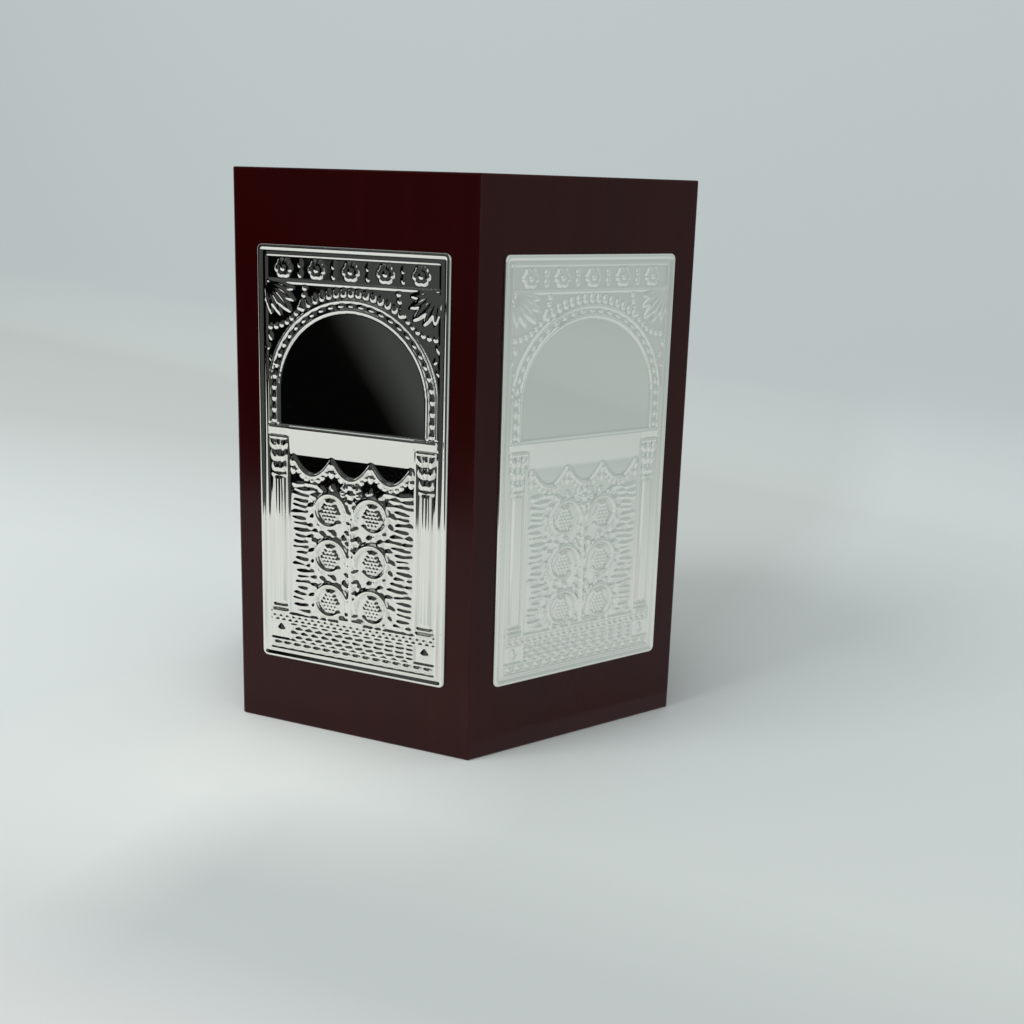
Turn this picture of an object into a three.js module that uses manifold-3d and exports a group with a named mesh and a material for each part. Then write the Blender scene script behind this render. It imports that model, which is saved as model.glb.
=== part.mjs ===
// Hexagonal charity box. Six lacquered wooden sides each carry an embossed silver-plated plaque,
// the top panel has a coin slot, and a hinged hatch in the base lets the coins out.
// Units are millimetres and +Z is up. The origin is the centre of the footprint, on the table.
import * as THREE from "three";
import { mergeVertices } from "three/addons/utils/BufferGeometryUtils.js";
import Module from "manifold-3d";

const wasm = await Module();
wasm.setup();

// Case
const sideCount = 6;
const bodyHeight = 134;
const faceWidth = 63; // one side, measured outside from corner to corner
const wallThickness = 7;
const cornerEase = 0.8; // radius along the upright outer edges
const glueLine = 0.3; // gap left at every glued wooden joint

// Top panel and its coin slot
const topThickness = 7;
const rebateWidth = 3.5; // how far the top panel is let into the sides
const slotLength = 40;
const slotWidth = 5;
const slotChamfer = 0.8;

// Base panel, held by a tongue in a groove of the sides
const baseRecess = 4; // height of the base panel's underside above the table
const baseThickness = 8;
const tongueThickness = 4;
const grooveDepth = 3;

// Hatch and its opening
const hatchWidth = 44;
const hatchLength = 56;
const hatchThickness = 4.5;
const hatchGap = 0.8; // running gap all round the hatch
const hatchCorner = 2;
const hatchHeadroom = 0.3; // between the hatch and the shelf above it
const ledgeWidth = 3; // shelf along the hinge side and both flanks
const catchShelf = 13; // wider shelf that holds the magnets, on the free side
const notchRadius = 8; // finger notch at the hatch's free edge
const notchHeadroom = 1.4; // room for a fingernail over the hatch

// Magnetic catch
const magnetRadius = 4;
const magnetThickness = 2.2;
const strikeRadius = 5;
const strikeThickness = 1;
const catchSpacing = 28; // between the two magnets
const catchInset = 8; // from the hatch's free edge to the magnets' centres
const hardwareGap = 0.1; // between small metal pieces and what they sit in

// Hinge
const leafLength = 30;
const leafWidth = 12;
const leafThickness = 0.8;
const leafCorner = 1.5;
const barrelRadius = 1.6;
const pinRadius = 0.8;
const pinClearance = 0.08;
const pinHeadRadius = 1.3;
const pinHeadLength = 0.6;
const knuckleCount = 5;
const knuckleGap = 0.3;
const leafHoleSpacing = 18;
const leafHoleInset = 4.2; // from the leaf's outer edge

// Wood screws, countersunk
const screwHeadRadius = 1.9;
const screwHeadDepth = 0.8;
const screwShankRadius = 0.9;
const leafScrewLength = 4;
const strikeScrewLength = 3.2;
const driveReach = 1.15; // cross recess in the head, from its centre to an arm's end
const driveWidth = 0.5;
const driveDepth = 0.35;

// Plaque plate
const plaqueWidth = 50;
const plaqueHeight = 100;
const plaqueThickness = 0.4; // sheet of the plain field
const plaqueCorner = 1.4;

// Plaque relief: frame, frieze, arch, columns, plinth and pomegranate tree
const reliefRoot = 0.3; // how deep each raised form is rooted in the plate
const strongEase = 0.25; // bevel along the upper edges of the bolder forms
const fineEase = 0.15; // and of the finer ones
const rimWidth = 1.1;
const rimHeight = 0.4;
const filletInset = 2;
const filletWidth = 0.5;
const filletHeight = 0.25;
const friezeHeight = 5.8;
const friezeRail = 0.6;
const railHeight = 0.35;
const rosetteRadius = 2.1;
const rosetteHeight = 0.4;
const rosetteCount = 5;
const bossSides = 6;
const bossTaper = 0.6; // a boss's top radius, as a share of its foot
const crownGap = 1.6; // between the arch and the frieze
const archStilt = 8.8; // straight run of the arch above the impost
const frameGap = 0.2; // between the arch and the fillet
const outerRoll = 0.8;
const archChannel = 2.2; // between the arch's two rolls
const innerRoll = 0.8;
const rollHeight = 0.5;
const rollEase = 0.2;
const lozengeLength = 2.1;
const lozengeWidth = 1.5;
const lozengeHeight = 0.4;
const lozengeCount = 11;
const impostDepth = 2.2;
const impostHeight = 0.6;
const plinthDepth = 9;
const plinthCourses = 3;
const courseGap = 0.8;
const courseHeight = 0.3;
const columnRadius = 1.6;
const columnSides = 6;
const columnFlatness = 0.4; // height of the column's relief, as a share of its radius
const columnInset = 2.6; // from the arch's outside to the column's axis
const capitalRadius = 2.5;
const capitalDepth = 4.6;
const footRadius = 2.3;
const footDepth = 2.4;
const treeTiers = 3;
const tierCentre = 0.43; // height of a scroll's centre in its tier, as a share
const finialDepth = 6.5; // room over the top tier for the crowning fruit
const stemWidth = 1.5;
const stemHeight = 0.5;
const scrollRadius = 5.6;
const scrollStart = 1.12; // where a scroll leaves the stem, in half turns
const scrollTurns = 1;
const scrollSteps = 7;
const scrollTaper = 0.55; // share of its radius that a scroll loses on the way in
const scrollWidth = 0.65;
const scrollHeight = 0.55;
const scrollRoot = 0.2; // how deep its flat back lies in the plate
const fruitRadius = 1.6;
const fruitHeight = 0.7;
const crownRadius = 2.4;

// Worked-out case sizes
const turn = (2 * Math.PI) / sideCount;
const halfTurn = turn / 2;
const apothem = faceWidth / 2 / Math.tan(halfTurn);
const innerApothem = apothem - wallThickness;
const topPanelBottom = bodyHeight - topThickness;
const basePanelTop = baseRecess + baseThickness;
const tongueBottom = baseRecess + (baseThickness - tongueThickness) / 2;
const hatchTop = baseRecess + hatchThickness;
const shelfBottom = hatchTop + hatchHeadroom;
const openingWidth = hatchWidth + 2 * hatchGap;
const openingLength = hatchLength + 2 * hatchGap;
const hingeY = hatchLength / 2 + hatchGap / 2;
const hingeZ = baseRecess - hardwareGap - barrelRadius;
const catchY = -hatchLength / 2 + catchInset;
const leafHoleY = leafWidth - leafHoleInset; // from the hinge line
const cutMargin = 1; // how far a cutter runs past the face that it cuts

// Worked-out plaque levels, measured up from the plaque's lower edge
const frameInset = filletInset + filletWidth;
const friezeTop = plaqueHeight - frameInset;
const friezeBottom = friezeTop - friezeHeight;
const archOuterRadius = plaqueWidth / 2 - frameInset - frameGap;
const channelRadius = archOuterRadius - outerRoll - archChannel / 2;
const lunetteRadius = archOuterRadius - outerRoll - archChannel - innerRoll;
const springLevel = friezeBottom - friezeRail - crownGap - archOuterRadius;
const impostTop = springLevel - archStilt;
const impostBottom = impostTop - impostDepth;
const plinthTop = frameInset + plinthDepth;
const columnU = archOuterRadius - columnInset;
const tierPitch = (impostBottom - plinthTop - finialDepth) / treeTiers;
const scrollCentre = scrollRadius + stemWidth / 2; // from the stem's middle line

const lacquer = new THREE.MeshStandardMaterial({ color: 0x3a0a0c, roughness: 0.28, metalness: 0 });
const silver = new THREE.MeshStandardMaterial({ color: 0xe6e6e2, roughness: 0.08, metalness: 1 });
const nickel = new THREE.MeshStandardMaterial({ color: 0xb9b4a8, roughness: 0.3, metalness: 1 });
const steel = new THREE.MeshStandardMaterial({ color: 0xa9abad, roughness: 0.35, metalness: 1 });

// A closed geometry as a solid that can be cut and joined.
function solidOf(geometry) {
  const bare = geometry.index ? geometry.toNonIndexed() : geometry.clone();
  for (const name of Object.keys(bare.attributes)) {
    if (name !== "position") bare.deleteAttribute(name);
  }
  const merged = mergeVertices(bare, 1e-4);
  return new wasm.Manifold(
    new wasm.Mesh({
      numProp: 3,
      vertProperties: merged.attributes.position.array,
      triVerts: new Uint32Array(merged.index.array),
    }),
  );
}

// A solid back as a flat-shaded geometry.
function geometryOf(solid) {
  const { vertProperties, triVerts } = solid.getMesh();
  const indexed = new THREE.BufferGeometry()
    .setAttribute("position", new THREE.BufferAttribute(new Float32Array(vertProperties), 3))
    .setIndex(new THREE.BufferAttribute(new Uint32Array(triVerts), 1));
  const flat = indexed.toNonIndexed();
  flat.computeVertexNormals();
  return flat;
}

const joined = (solids) => solids.reduce((sum, solid) => sum.add(solid));
const cut = (solid, cutters) => cutters.reduce((rest, cutter) => rest.subtract(cutter), solid);

// A box from its lowest to its highest corner.
function block(low, high) {
  const size = high.map((value, axis) => value - low[axis]);
  const centre = high.map((value, axis) => (value + low[axis]) / 2);
  return solidOf(new THREE.BoxGeometry(...size).translate(...centre));
}

// A flat shape raised along +Z between two heights.
function prism(shape, bottom, top, curveSegments = 6) {
  const options = { depth: top - bottom, bevelEnabled: false, curveSegments };
  return solidOf(new THREE.ExtrudeGeometry(shape, options).translate(0, 0, bottom));
}

// A raised form on the plaque: rooted in the plate, with its upper edges bevelled.
function raised(shape, height, bevel, curveSegments = 1) {
  const options = {
    depth: height + reliefRoot - 2 * bevel,
    bevelEnabled: true,
    bevelThickness: bevel,
    bevelSize: bevel,
    bevelOffset: -bevel,
    bevelSegments: 1,
    curveSegments,
  };
  return solidOf(new THREE.ExtrudeGeometry(shape, options).translate(0, 0, bevel - reliefRoot));
}

// An upright cylinder between two heights.
function post(radius, bottom, top, x = 0, y = 0, sides = 20) {
  const geometry = new THREE.CylinderGeometry(radius, radius, top - bottom, sides);
  return solidOf(geometry.rotateX(Math.PI / 2).translate(x, y, (bottom + top) / 2));
}

// A cylinder along X between two stations, centred on the hinge line.
function rod(radius, from, to, sides = 16) {
  const geometry = new THREE.CylinderGeometry(radius, radius, to - from, sides);
  return solidOf(geometry.rotateZ(Math.PI / 2).translate((from + to) / 2, hingeY, hingeZ));
}

function roundedRectangle(left, bottom, right, top, radius) {
  const shape = new THREE.Shape();
  shape.moveTo(left + radius, bottom);
  shape.absarc(right - radius, bottom + radius, radius, -Math.PI / 2, 0, false);
  shape.absarc(right - radius, top - radius, radius, 0, Math.PI / 2, false);
  shape.absarc(left + radius, top - radius, radius, Math.PI / 2, Math.PI, false);
  shape.absarc(left + radius, bottom + radius, radius, Math.PI, Math.PI * 1.5, false);
  return shape;
}

function rectangle(left, bottom, right, top) {
  const shape = new THREE.Shape();
  shape.moveTo(left, bottom);
  shape.lineTo(right, bottom);
  shape.lineTo(right, top);
  shape.lineTo(left, top);
  shape.closePath();
  return shape;
}

// A slot outline along X with round ends.
function slotShape(length, width) {
  const radius = width / 2;
  const reach = length / 2 - radius;
  const shape = new THREE.Shape();
  shape.absarc(reach, 0, radius, -Math.PI / 2, Math.PI / 2, false);
  shape.absarc(-reach, 0, radius, Math.PI / 2, Math.PI * 1.5, false);
  return shape;
}

// A regular outline with one flat facing -Y, from its apothem.
function ringOutline(reach) {
  const shape = new THREE.Shape();
  const radius = reach / Math.cos(halfTurn);
  for (let corner = 0; corner < sideCount; corner++) {
    const angle = -Math.PI / 2 + halfTurn + corner * turn;
    shape[corner ? "lineTo" : "moveTo"](radius * Math.cos(angle), radius * Math.sin(angle));
  }
  shape.closePath();
  return shape;
}

// Half the width of a side at a distance from the box's axis, up to its mitred joint.
const mitreHalfWidth = (distance) =>
  distance * Math.tan(halfTurn) - glueLine / 2 / Math.cos(halfTurn);

// Plan of one side, facing -Y, with its outer corners eased up to the mitres.
function sideOutline() {
  const centreDistance = apothem - cornerEase;
  const centreX = centreDistance * Math.tan(halfTurn);
  const setBack = Math.asin(Math.min(1, glueLine / 2 / cornerEase));
  const sweep = Math.max(0, halfTurn - setBack);
  const shape = new THREE.Shape();
  shape.moveTo(-mitreHalfWidth(innerApothem), -innerApothem);
  shape.absarc(-centreX, -centreDistance, cornerEase, -Math.PI / 2 - sweep, -Math.PI / 2, false);
  shape.absarc(centreX, -centreDistance, cornerEase, -Math.PI / 2, -Math.PI / 2 + sweep, false);
  shape.lineTo(mitreHalfWidth(innerApothem), -innerApothem);
  shape.closePath();
  return shape;
}

// One side: mitred, rebated for the top panel and grooved for the base panel's tongue.
function sidePanel() {
  const width = faceWidth;
  return cut(prism(sideOutline(), 0, bodyHeight, 3), [
    block(
      [-width, -innerApothem - rebateWidth, topPanelBottom - glueLine],
      [width, 0, bodyHeight + cutMargin],
    ),
    block(
      [-width, -innerApothem - grooveDepth, tongueBottom - glueLine],
      [width, 0, tongueBottom + tongueThickness + glueLine],
    ),
  ]);
}

function topPanel() {
  const slot = slotShape(slotLength, slotWidth);
  const chamfer = new THREE.ExtrudeGeometry(slot, {
    depth: cutMargin,
    bevelEnabled: true,
    bevelThickness: slotChamfer,
    bevelSize: slotChamfer,
    bevelSegments: 1,
    curveSegments: 6,
  }).translate(0, 0, bodyHeight);
  const panel = prism(
    ringOutline(innerApothem + rebateWidth - glueLine),
    topPanelBottom,
    bodyHeight,
  );
  return cut(panel, [
    prism(slot, topPanelBottom - cutMargin, bodyHeight + cutMargin),
    solidOf(chamfer),
  ]);
}

// Places along a hinge leaf for its two screws.
const leafHoleX = [-leafHoleSpacing / 2, leafHoleSpacing / 2];
const catchX = [-catchSpacing / 2, catchSpacing / 2];

function basePanel() {
  const sheet = ringOutline(innerApothem - glueLine);
  const tongue = ringOutline(innerApothem + grooveDepth - glueLine);
  const panel = prism(sheet, baseRecess, basePanelTop).add(
    prism(tongue, tongueBottom, tongueBottom + tongueThickness),
  );
  const hatchOpening = roundedRectangle(
    -openingWidth / 2,
    -openingLength / 2,
    openingWidth / 2,
    openingLength / 2,
    hatchCorner + hatchGap,
  );
  const clearOpening = roundedRectangle(
    -openingWidth / 2 + ledgeWidth,
    -openingLength / 2 + catchShelf,
    openingWidth / 2 - ledgeWidth,
    openingLength / 2 - ledgeWidth,
    hatchCorner,
  );
  const notchTop = hatchTop + notchHeadroom;
  return cut(panel, [
    prism(hatchOpening, baseRecess - cutMargin, shelfBottom, 3),
    prism(clearOpening, shelfBottom - cutMargin, basePanelTop + cutMargin, 3),
    post(notchRadius, baseRecess - cutMargin, notchTop, 0, -openingLength / 2, 28),
    ...catchX.map((x) =>
      post(
        magnetRadius + hardwareGap,
        shelfBottom - cutMargin,
        shelfBottom + magnetThickness + hardwareGap,
        x,
        catchY,
      ),
    ),
    ...leafHoleX.map((x) => screwHole(leafScrewLength, x, hingeY + leafHoleY)),
  ]);
}

// The pilot hole that a leaf's screw needs in the wood over it.
function screwHole(length, x, y) {
  const tip = baseRecess - hardwareGap - leafThickness + length;
  return post(screwShankRadius + hardwareGap, baseRecess - cutMargin, tip + hardwareGap, x, y, 12);
}

function hatchPanel() {
  const outline = roundedRectangle(
    -hatchWidth / 2,
    -hatchLength / 2,
    hatchWidth / 2,
    hatchLength / 2,
    hatchCorner,
  );
  const strikeTip = hatchTop - strikeScrewLength - hardwareGap;
  return cut(prism(outline, baseRecess, hatchTop, 3), [
    ...catchX.map((x) =>
      post(
        strikeRadius + hardwareGap,
        hatchTop - strikeThickness - hardwareGap,
        hatchTop + cutMargin,
        x,
        catchY,
      ),
    ),
    ...catchX.map((x) =>
      post(screwShankRadius + hardwareGap, strikeTip, hatchTop + cutMargin, x, catchY, 12),
    ),
    ...leafHoleX.map((x) => screwHole(leafScrewLength, x, hingeY - leafHoleY)),
  ]);
}

// A countersunk hole for a screw whose head is flush at the given height. Up is 1 where the
// screw points up and -1 where it points down.
function countersink(x, y, headZ, up) {
  const profile = [
    new THREE.Vector2(0, -cutMargin),
    new THREE.Vector2(screwHeadRadius + hardwareGap, -cutMargin),
    new THREE.Vector2(screwHeadRadius + hardwareGap, 0),
    new THREE.Vector2(screwShankRadius + hardwareGap, screwHeadDepth),
    new THREE.Vector2(screwShankRadius + hardwareGap, screwHeadDepth + cutMargin),
    new THREE.Vector2(0, screwHeadDepth + cutMargin),
  ];
  const geometry = new THREE.LatheGeometry(profile, 12);
  return solidOf(geometry.rotateX((up * Math.PI) / 2).translate(x, y, headZ));
}

// A wood screw with its head flush at the origin, pointing along +Z.
function screwGeometry(length) {
  const taper = 2 * screwShankRadius;
  const profile = [
    new THREE.Vector2(0, 0),
    new THREE.Vector2(screwHeadRadius, 0),
    new THREE.Vector2(screwShankRadius, screwHeadDepth),
    new THREE.Vector2(screwShankRadius, length - taper),
    new THREE.Vector2(0, length),
  ];
  const blank = solidOf(new THREE.LatheGeometry(profile, 12).rotateX(Math.PI / 2));
  const half = driveWidth / 2;
  return geometryOf(
    cut(blank, [
      block([-driveReach, -half, -cutMargin], [driveReach, half, driveDepth]),
      block([-half, -driveReach, -cutMargin], [half, driveReach, driveDepth]),
    ]),
  );
}

// The knuckles are shared out in turn: the fixed leaf has the even ones, the moving leaf the odd.
function knuckleSpan(index) {
  const pitch = leafLength / knuckleCount;
  const start = -leafLength / 2 + index * pitch;
  return [start + knuckleGap / 2, start + pitch - knuckleGap / 2];
}

// One hinge leaf. Side is 1 for the leaf behind the hinge line and -1 for the one before it.
function hingeLeaf(side, parity) {
  const plateTop = baseRecess - hardwareGap;
  const plateBottom = plateTop - leafThickness;
  const own = [];
  const others = [];
  for (let index = 0; index < knuckleCount; index++) {
    (index % 2 === parity ? own : others).push(knuckleSpan(index));
  }
  const outer = hingeY + side * leafWidth;
  const plateOutline = roundedRectangle(
    -leafLength / 2,
    Math.min(hingeY, outer) - (side > 0 ? leafCorner : 0),
    leafLength / 2,
    Math.max(hingeY, outer) + (side < 0 ? leafCorner : 0),
    leafCorner,
  );
  const beyond = hingeY - side * (leafCorner + cutMargin);
  const plate = cut(prism(plateOutline, plateBottom, plateTop, 3), [
    block(
      [-leafLength, Math.min(hingeY, beyond), plateBottom - cutMargin],
      [leafLength, Math.max(hingeY, beyond), plateTop + cutMargin],
    ),
  ]);
  const reach = barrelRadius + knuckleGap;
  const notches = others.map(([from, to]) =>
    block(
      [from - knuckleGap, hingeY - reach, hingeZ - reach],
      [to + knuckleGap, hingeY + reach, plateTop + cutMargin],
    ),
  );
  const barrels = own.map(([from, to]) => rod(barrelRadius, from, to));
  const holes = leafHoleX.map((x) => countersink(x, hingeY + side * leafHoleY, plateBottom, 1));
  const bore = rod(pinRadius + pinClearance, -leafLength, leafLength);
  return cut(joined([cut(plate, notches), ...barrels]), [bore, ...holes]);
}

// The hinge pin, headed at both ends like a rivet.
function hingePin() {
  const reach = leafLength / 2 + hardwareGap;
  return joined([
    rod(pinRadius, -reach, reach),
    rod(pinHeadRadius, -reach - pinHeadLength, -reach),
    rod(pinHeadRadius, reach, reach + pinHeadLength),
  ]);
}

function magnet(x) {
  return post(magnetRadius, shelfBottom, shelfBottom + magnetThickness, x, catchY);
}

function strikePlate(x) {
  const disc = post(strikeRadius, hatchTop - strikeThickness, hatchTop, x, catchY);
  return cut(disc, [countersink(x, catchY, hatchTop, -1)]);
}

// Raised frame of the plaque: the rim at its edge and the thin fillet inside it.
function plaqueFrame() {
  const half = plaqueWidth / 2;
  const rim = roundedRectangle(-half, 0, half, plaqueHeight, plaqueCorner);
  rim.holes.push(rectangle(-half + rimWidth, rimWidth, half - rimWidth, plaqueHeight - rimWidth));
  const outer = half - filletInset;
  const inner = half - frameInset;
  const fillet = rectangle(-outer, filletInset, outer, plaqueHeight - filletInset);
  fillet.holes.push(rectangle(-inner, frameInset, inner, friezeTop));
  return [raised(rim, rimHeight, strongEase), raised(fillet, filletHeight, fineEase)];
}

// A round-headed moulding with straight legs that stand on the impost.
function archRoll(radius, width) {
  const inside = radius - width;
  const shape = new THREE.Shape();
  shape.moveTo(radius, impostTop);
  shape.absarc(0, springLevel, radius, 0, Math.PI, false);
  shape.lineTo(-radius, impostTop);
  shape.lineTo(-inside, impostTop);
  shape.absarc(0, springLevel, inside, Math.PI, 0, true);
  shape.lineTo(inside, impostTop);
  shape.closePath();
  return raised(shape, rollHeight, rollEase, 6);
}

// A round boss that narrows towards its top, for rosettes and fruit.
function boss(radius, height, u, v) {
  const depth = height + reliefRoot;
  const geometry = new THREE.CylinderGeometry(radius * bossTaper, radius, depth, bossSides)
    .rotateX(Math.PI / 2)
    .translate(u, v, height - depth / 2);
  return solidOf(geometry);
}

// Pointed lozenges round the arch, between its two rolls.
function archLozenges() {
  const lozenges = [];
  for (let index = 0; index < lozengeCount; index++) {
    const angle = (Math.PI * (index + 0.5)) / lozengeCount;
    const geometry = new THREE.OctahedronGeometry(1, 0)
      .scale(lozengeWidth / 2, lozengeLength / 2, lozengeHeight)
      .translate(channelRadius, 0, 0)
      .rotateZ(angle);
    lozenges.push(solidOf(geometry.translate(0, springLevel, 0)));
  }
  return lozenges;
}

function rosettes() {
  const level = (friezeTop + friezeBottom) / 2;
  const pitch = (plaqueWidth - 2 * frameInset) / rosetteCount;
  const flowers = [];
  for (let index = 0; index < rosetteCount; index++) {
    const u = (index - (rosetteCount - 1) / 2) * pitch;
    flowers.push(boss(rosetteRadius, rosetteHeight, u, level));
  }
  return flowers;
}

// One column in half relief, with a flared capital and a foot, standing on the plinth.
function column(u) {
  const profile = [
    new THREE.Vector2(0, plinthTop),
    new THREE.Vector2(footRadius, plinthTop),
    new THREE.Vector2(footRadius, plinthTop + footDepth / 2),
    new THREE.Vector2(columnRadius, plinthTop + footDepth),
    new THREE.Vector2(columnRadius, impostBottom - capitalDepth),
    new THREE.Vector2(capitalRadius, impostBottom),
    new THREE.Vector2(0, impostBottom),
  ];
  const geometry = new THREE.LatheGeometry(profile, columnSides)
    .rotateY(Math.PI / columnSides)
    .scale(1, 1, columnFlatness)
    .translate(u, 0, 0);
  return solidOf(geometry);
}

// Courses of the plinth, one rail a course.
function plinth() {
  const half = plaqueWidth / 2 - frameInset - frameGap;
  const pitch = plinthDepth / plinthCourses;
  const rails = [];
  for (let course = 0; course < plinthCourses; course++) {
    const low = frameInset + course * pitch + courseGap / 2;
    const rail = rectangle(-half, low, half, low + pitch - courseGap);
    rails.push(raised(rail, courseHeight, fineEase));
  }
  return rails;
}

// One spiral branch. Side is 1 for the right hand and -1 for the left.
function scroll(side, level) {
  const points = [];
  for (let step = 0; step <= scrollSteps; step++) {
    const share = step / scrollSteps;
    const angle = scrollStart * Math.PI - share * scrollTurns * 2 * Math.PI;
    const radius = scrollRadius * (1 - scrollTaper * share);
    points.push(
      new THREE.Vector3(
        side * (scrollCentre + radius * Math.cos(angle)),
        level + radius * Math.sin(angle),
        0,
      ),
    );
  }
  const section = new THREE.Shape();
  section.moveTo(-scrollHeight, 0);
  section.lineTo(scrollRoot, -scrollWidth);
  section.lineTo(scrollRoot, scrollWidth);
  section.closePath();
  const path = new THREE.CatmullRomCurve3(points);
  const options = { steps: scrollSteps, bevelEnabled: false, extrudePath: path };
  return solidOf(new THREE.ExtrudeGeometry(section, options));
}

// The pomegranate tree between the columns.
function tree() {
  const crownLevel = impostBottom - finialDepth / 2;
  const stem = rectangle(-stemWidth / 2, plinthTop, stemWidth / 2, crownLevel);
  const parts = [
    raised(stem, stemHeight, strongEase),
    boss(crownRadius, fruitHeight, 0, crownLevel),
  ];
  for (let tier = 0; tier < treeTiers; tier++) {
    const level = plinthTop + (tier + tierCentre) * tierPitch;
    for (const side of [-1, 1]) {
      parts.push(scroll(side, level));
      parts.push(boss(fruitRadius, fruitHeight, side * scrollCentre, level));
    }
  }
  return parts;
}

// The whole plaque in its own plane: U across, V up from its lower edge, its field at height 0.
function plaqueGeometry() {
  const half = plaqueWidth / 2;
  const railHalf = half - frameInset - frameGap;
  const plate = prism(
    roundedRectangle(-half, 0, half, plaqueHeight, plaqueCorner),
    -plaqueThickness,
    0,
    1,
  );
  const friezeLine = rectangle(-railHalf, friezeBottom - friezeRail, railHalf, friezeBottom);
  const impost = rectangle(-railHalf, impostBottom, railHalf, impostTop);
  const relief = [
    ...plaqueFrame(),
    ...rosettes(),
    raised(friezeLine, railHeight, fineEase),
    archRoll(archOuterRadius, outerRoll),
    archRoll(lunetteRadius + innerRoll, innerRoll),
    ...archLozenges(),
    raised(impost, impostHeight, strongEase),
    column(-columnU),
    column(columnU),
    ...plinth(),
    ...tree(),
  ];
  const behind = block(
    [-plaqueWidth, -plaqueHeight, -plaqueThickness - plaqueHeight],
    [plaqueWidth, 2 * plaqueHeight, -plaqueThickness],
  );
  const plaque = cut(joined([plate, ...relief]), [behind]);
  return geometryOf(plaque)
    .rotateX(Math.PI / 2)
    .translate(0, -apothem - glueLine - plaqueThickness, (bodyHeight - plaqueHeight) / 2);
}

const box = new THREE.Group();

function place(parent, name, geometry, material) {
  const mesh = new THREE.Mesh(geometry, material);
  mesh.name = name;
  parent.add(mesh);
  return mesh;
}

// Six alike sides, each with its plaque, turned about the box's axis.
const sideGeometry = geometryOf(sidePanel());
const plaqueShape = plaqueGeometry();
for (let index = 0; index < sideCount; index++) {
  const station = new THREE.Group();
  station.rotation.z = index * turn;
  place(station, `side_panel_${index + 1}`, sideGeometry, lacquer);
  place(station, `plaque_${index + 1}`, plaqueShape, silver);
  box.add(station);
}

place(box, "top_panel", geometryOf(topPanel()), lacquer);
place(box, "base_panel", geometryOf(basePanel()), lacquer);
place(box, "hatch_panel", geometryOf(hatchPanel()), lacquer);
place(box, "hinge_leaf_fixed", geometryOf(hingeLeaf(1, 0)), nickel);
place(box, "hinge_leaf_moving", geometryOf(hingeLeaf(-1, 1)), nickel);
place(box, "hinge_pin", geometryOf(hingePin()), nickel);

const leafScrew = screwGeometry(leafScrewLength);
const strikeScrew = screwGeometry(strikeScrewLength);
const headZ = baseRecess - hardwareGap - leafThickness;
leafHoleX.forEach((x, index) => {
  const fixed = place(box, `hinge_screw_fixed_${index + 1}`, leafScrew, nickel);
  fixed.position.set(x, hingeY + leafHoleY, headZ);
  const moving = place(box, `hinge_screw_moving_${index + 1}`, leafScrew, nickel);
  moving.position.set(x, hingeY - leafHoleY, headZ);
});
catchX.forEach((x, index) => {
  place(box, `catch_magnet_${index + 1}`, geometryOf(magnet(x)), steel);
  place(box, `strike_plate_${index + 1}`, geometryOf(strikePlate(x)), steel);
  const screw = place(box, `strike_screw_${index + 1}`, strikeScrew, nickel);
  screw.position.set(x, catchY, hatchTop);
  screw.rotation.x = Math.PI;
});

export default box;
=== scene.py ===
import math
import random

import bmesh
import bpy
from mathutils import Matrix, Vector


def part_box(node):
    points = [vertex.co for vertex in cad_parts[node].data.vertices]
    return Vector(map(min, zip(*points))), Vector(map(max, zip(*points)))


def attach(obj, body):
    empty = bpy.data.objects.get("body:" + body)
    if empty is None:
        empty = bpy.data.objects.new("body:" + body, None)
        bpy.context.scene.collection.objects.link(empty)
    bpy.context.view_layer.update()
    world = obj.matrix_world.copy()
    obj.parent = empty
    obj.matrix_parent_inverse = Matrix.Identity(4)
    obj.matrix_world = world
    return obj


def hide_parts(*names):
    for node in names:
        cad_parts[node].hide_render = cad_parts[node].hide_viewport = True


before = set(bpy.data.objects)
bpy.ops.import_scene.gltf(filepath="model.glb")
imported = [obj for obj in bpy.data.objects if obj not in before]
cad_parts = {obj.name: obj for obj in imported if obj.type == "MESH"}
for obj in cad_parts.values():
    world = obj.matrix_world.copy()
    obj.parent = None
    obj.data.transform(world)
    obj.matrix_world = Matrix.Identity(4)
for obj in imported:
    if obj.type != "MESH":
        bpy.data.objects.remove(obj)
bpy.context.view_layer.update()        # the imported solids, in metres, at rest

mm = 0.001
hair = 0.01 * mm         # keeps faces that meet from coinciding
sides = 6
turn = 2 * math.pi / sides
halfTurn = turn / 2

# the box's own measures, read from the solids
wallLow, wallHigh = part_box("side_panel_1")
topLow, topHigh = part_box("top_panel")
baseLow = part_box("base_panel")[0]
plaqueLow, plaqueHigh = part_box("plaque_1")
apothem = -wallLow.y
innerApothem = -wallHigh.y
bodyHeight = wallHigh.z

scene = bpy.context.scene
scene.view_settings.view_transform = "Standard"


def shown(red, green, blue):  # a colour as the eye reads it, 0 to 255, made linear
    channels = [value / 255 for value in (red, green, blue)]
    return tuple(c / 12.92 if c < 0.04 else ((c + 0.055) / 1.055) ** 2.4 for c in channels) + (1.0,)


def feed(tree, node, inputs):  # each input is another node's socket or a plain value
    for key, value in inputs.items():
        if isinstance(value, bpy.types.NodeSocket):
            tree.links.new(value, node.inputs[key])
        else:
            node.inputs[key].default_value = value


def addNode(tree, kind, inputs=None, **settings):
    made = tree.nodes.new(kind)
    for name, value in settings.items():
        setattr(made, name, value)
    feed(tree, made, inputs or {})
    return made


def calc(tree, operation, *values):
    return addNode(tree, "ShaderNodeMath", dict(enumerate(values)), operation=operation).outputs[0]


def scaled(tree, value, fromLow, fromHigh, toLow, toHigh):
    inputs = dict(enumerate((value, fromLow, fromHigh, toLow, toHigh)))
    return addNode(tree, "ShaderNodeMapRange", inputs).outputs[0]


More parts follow.
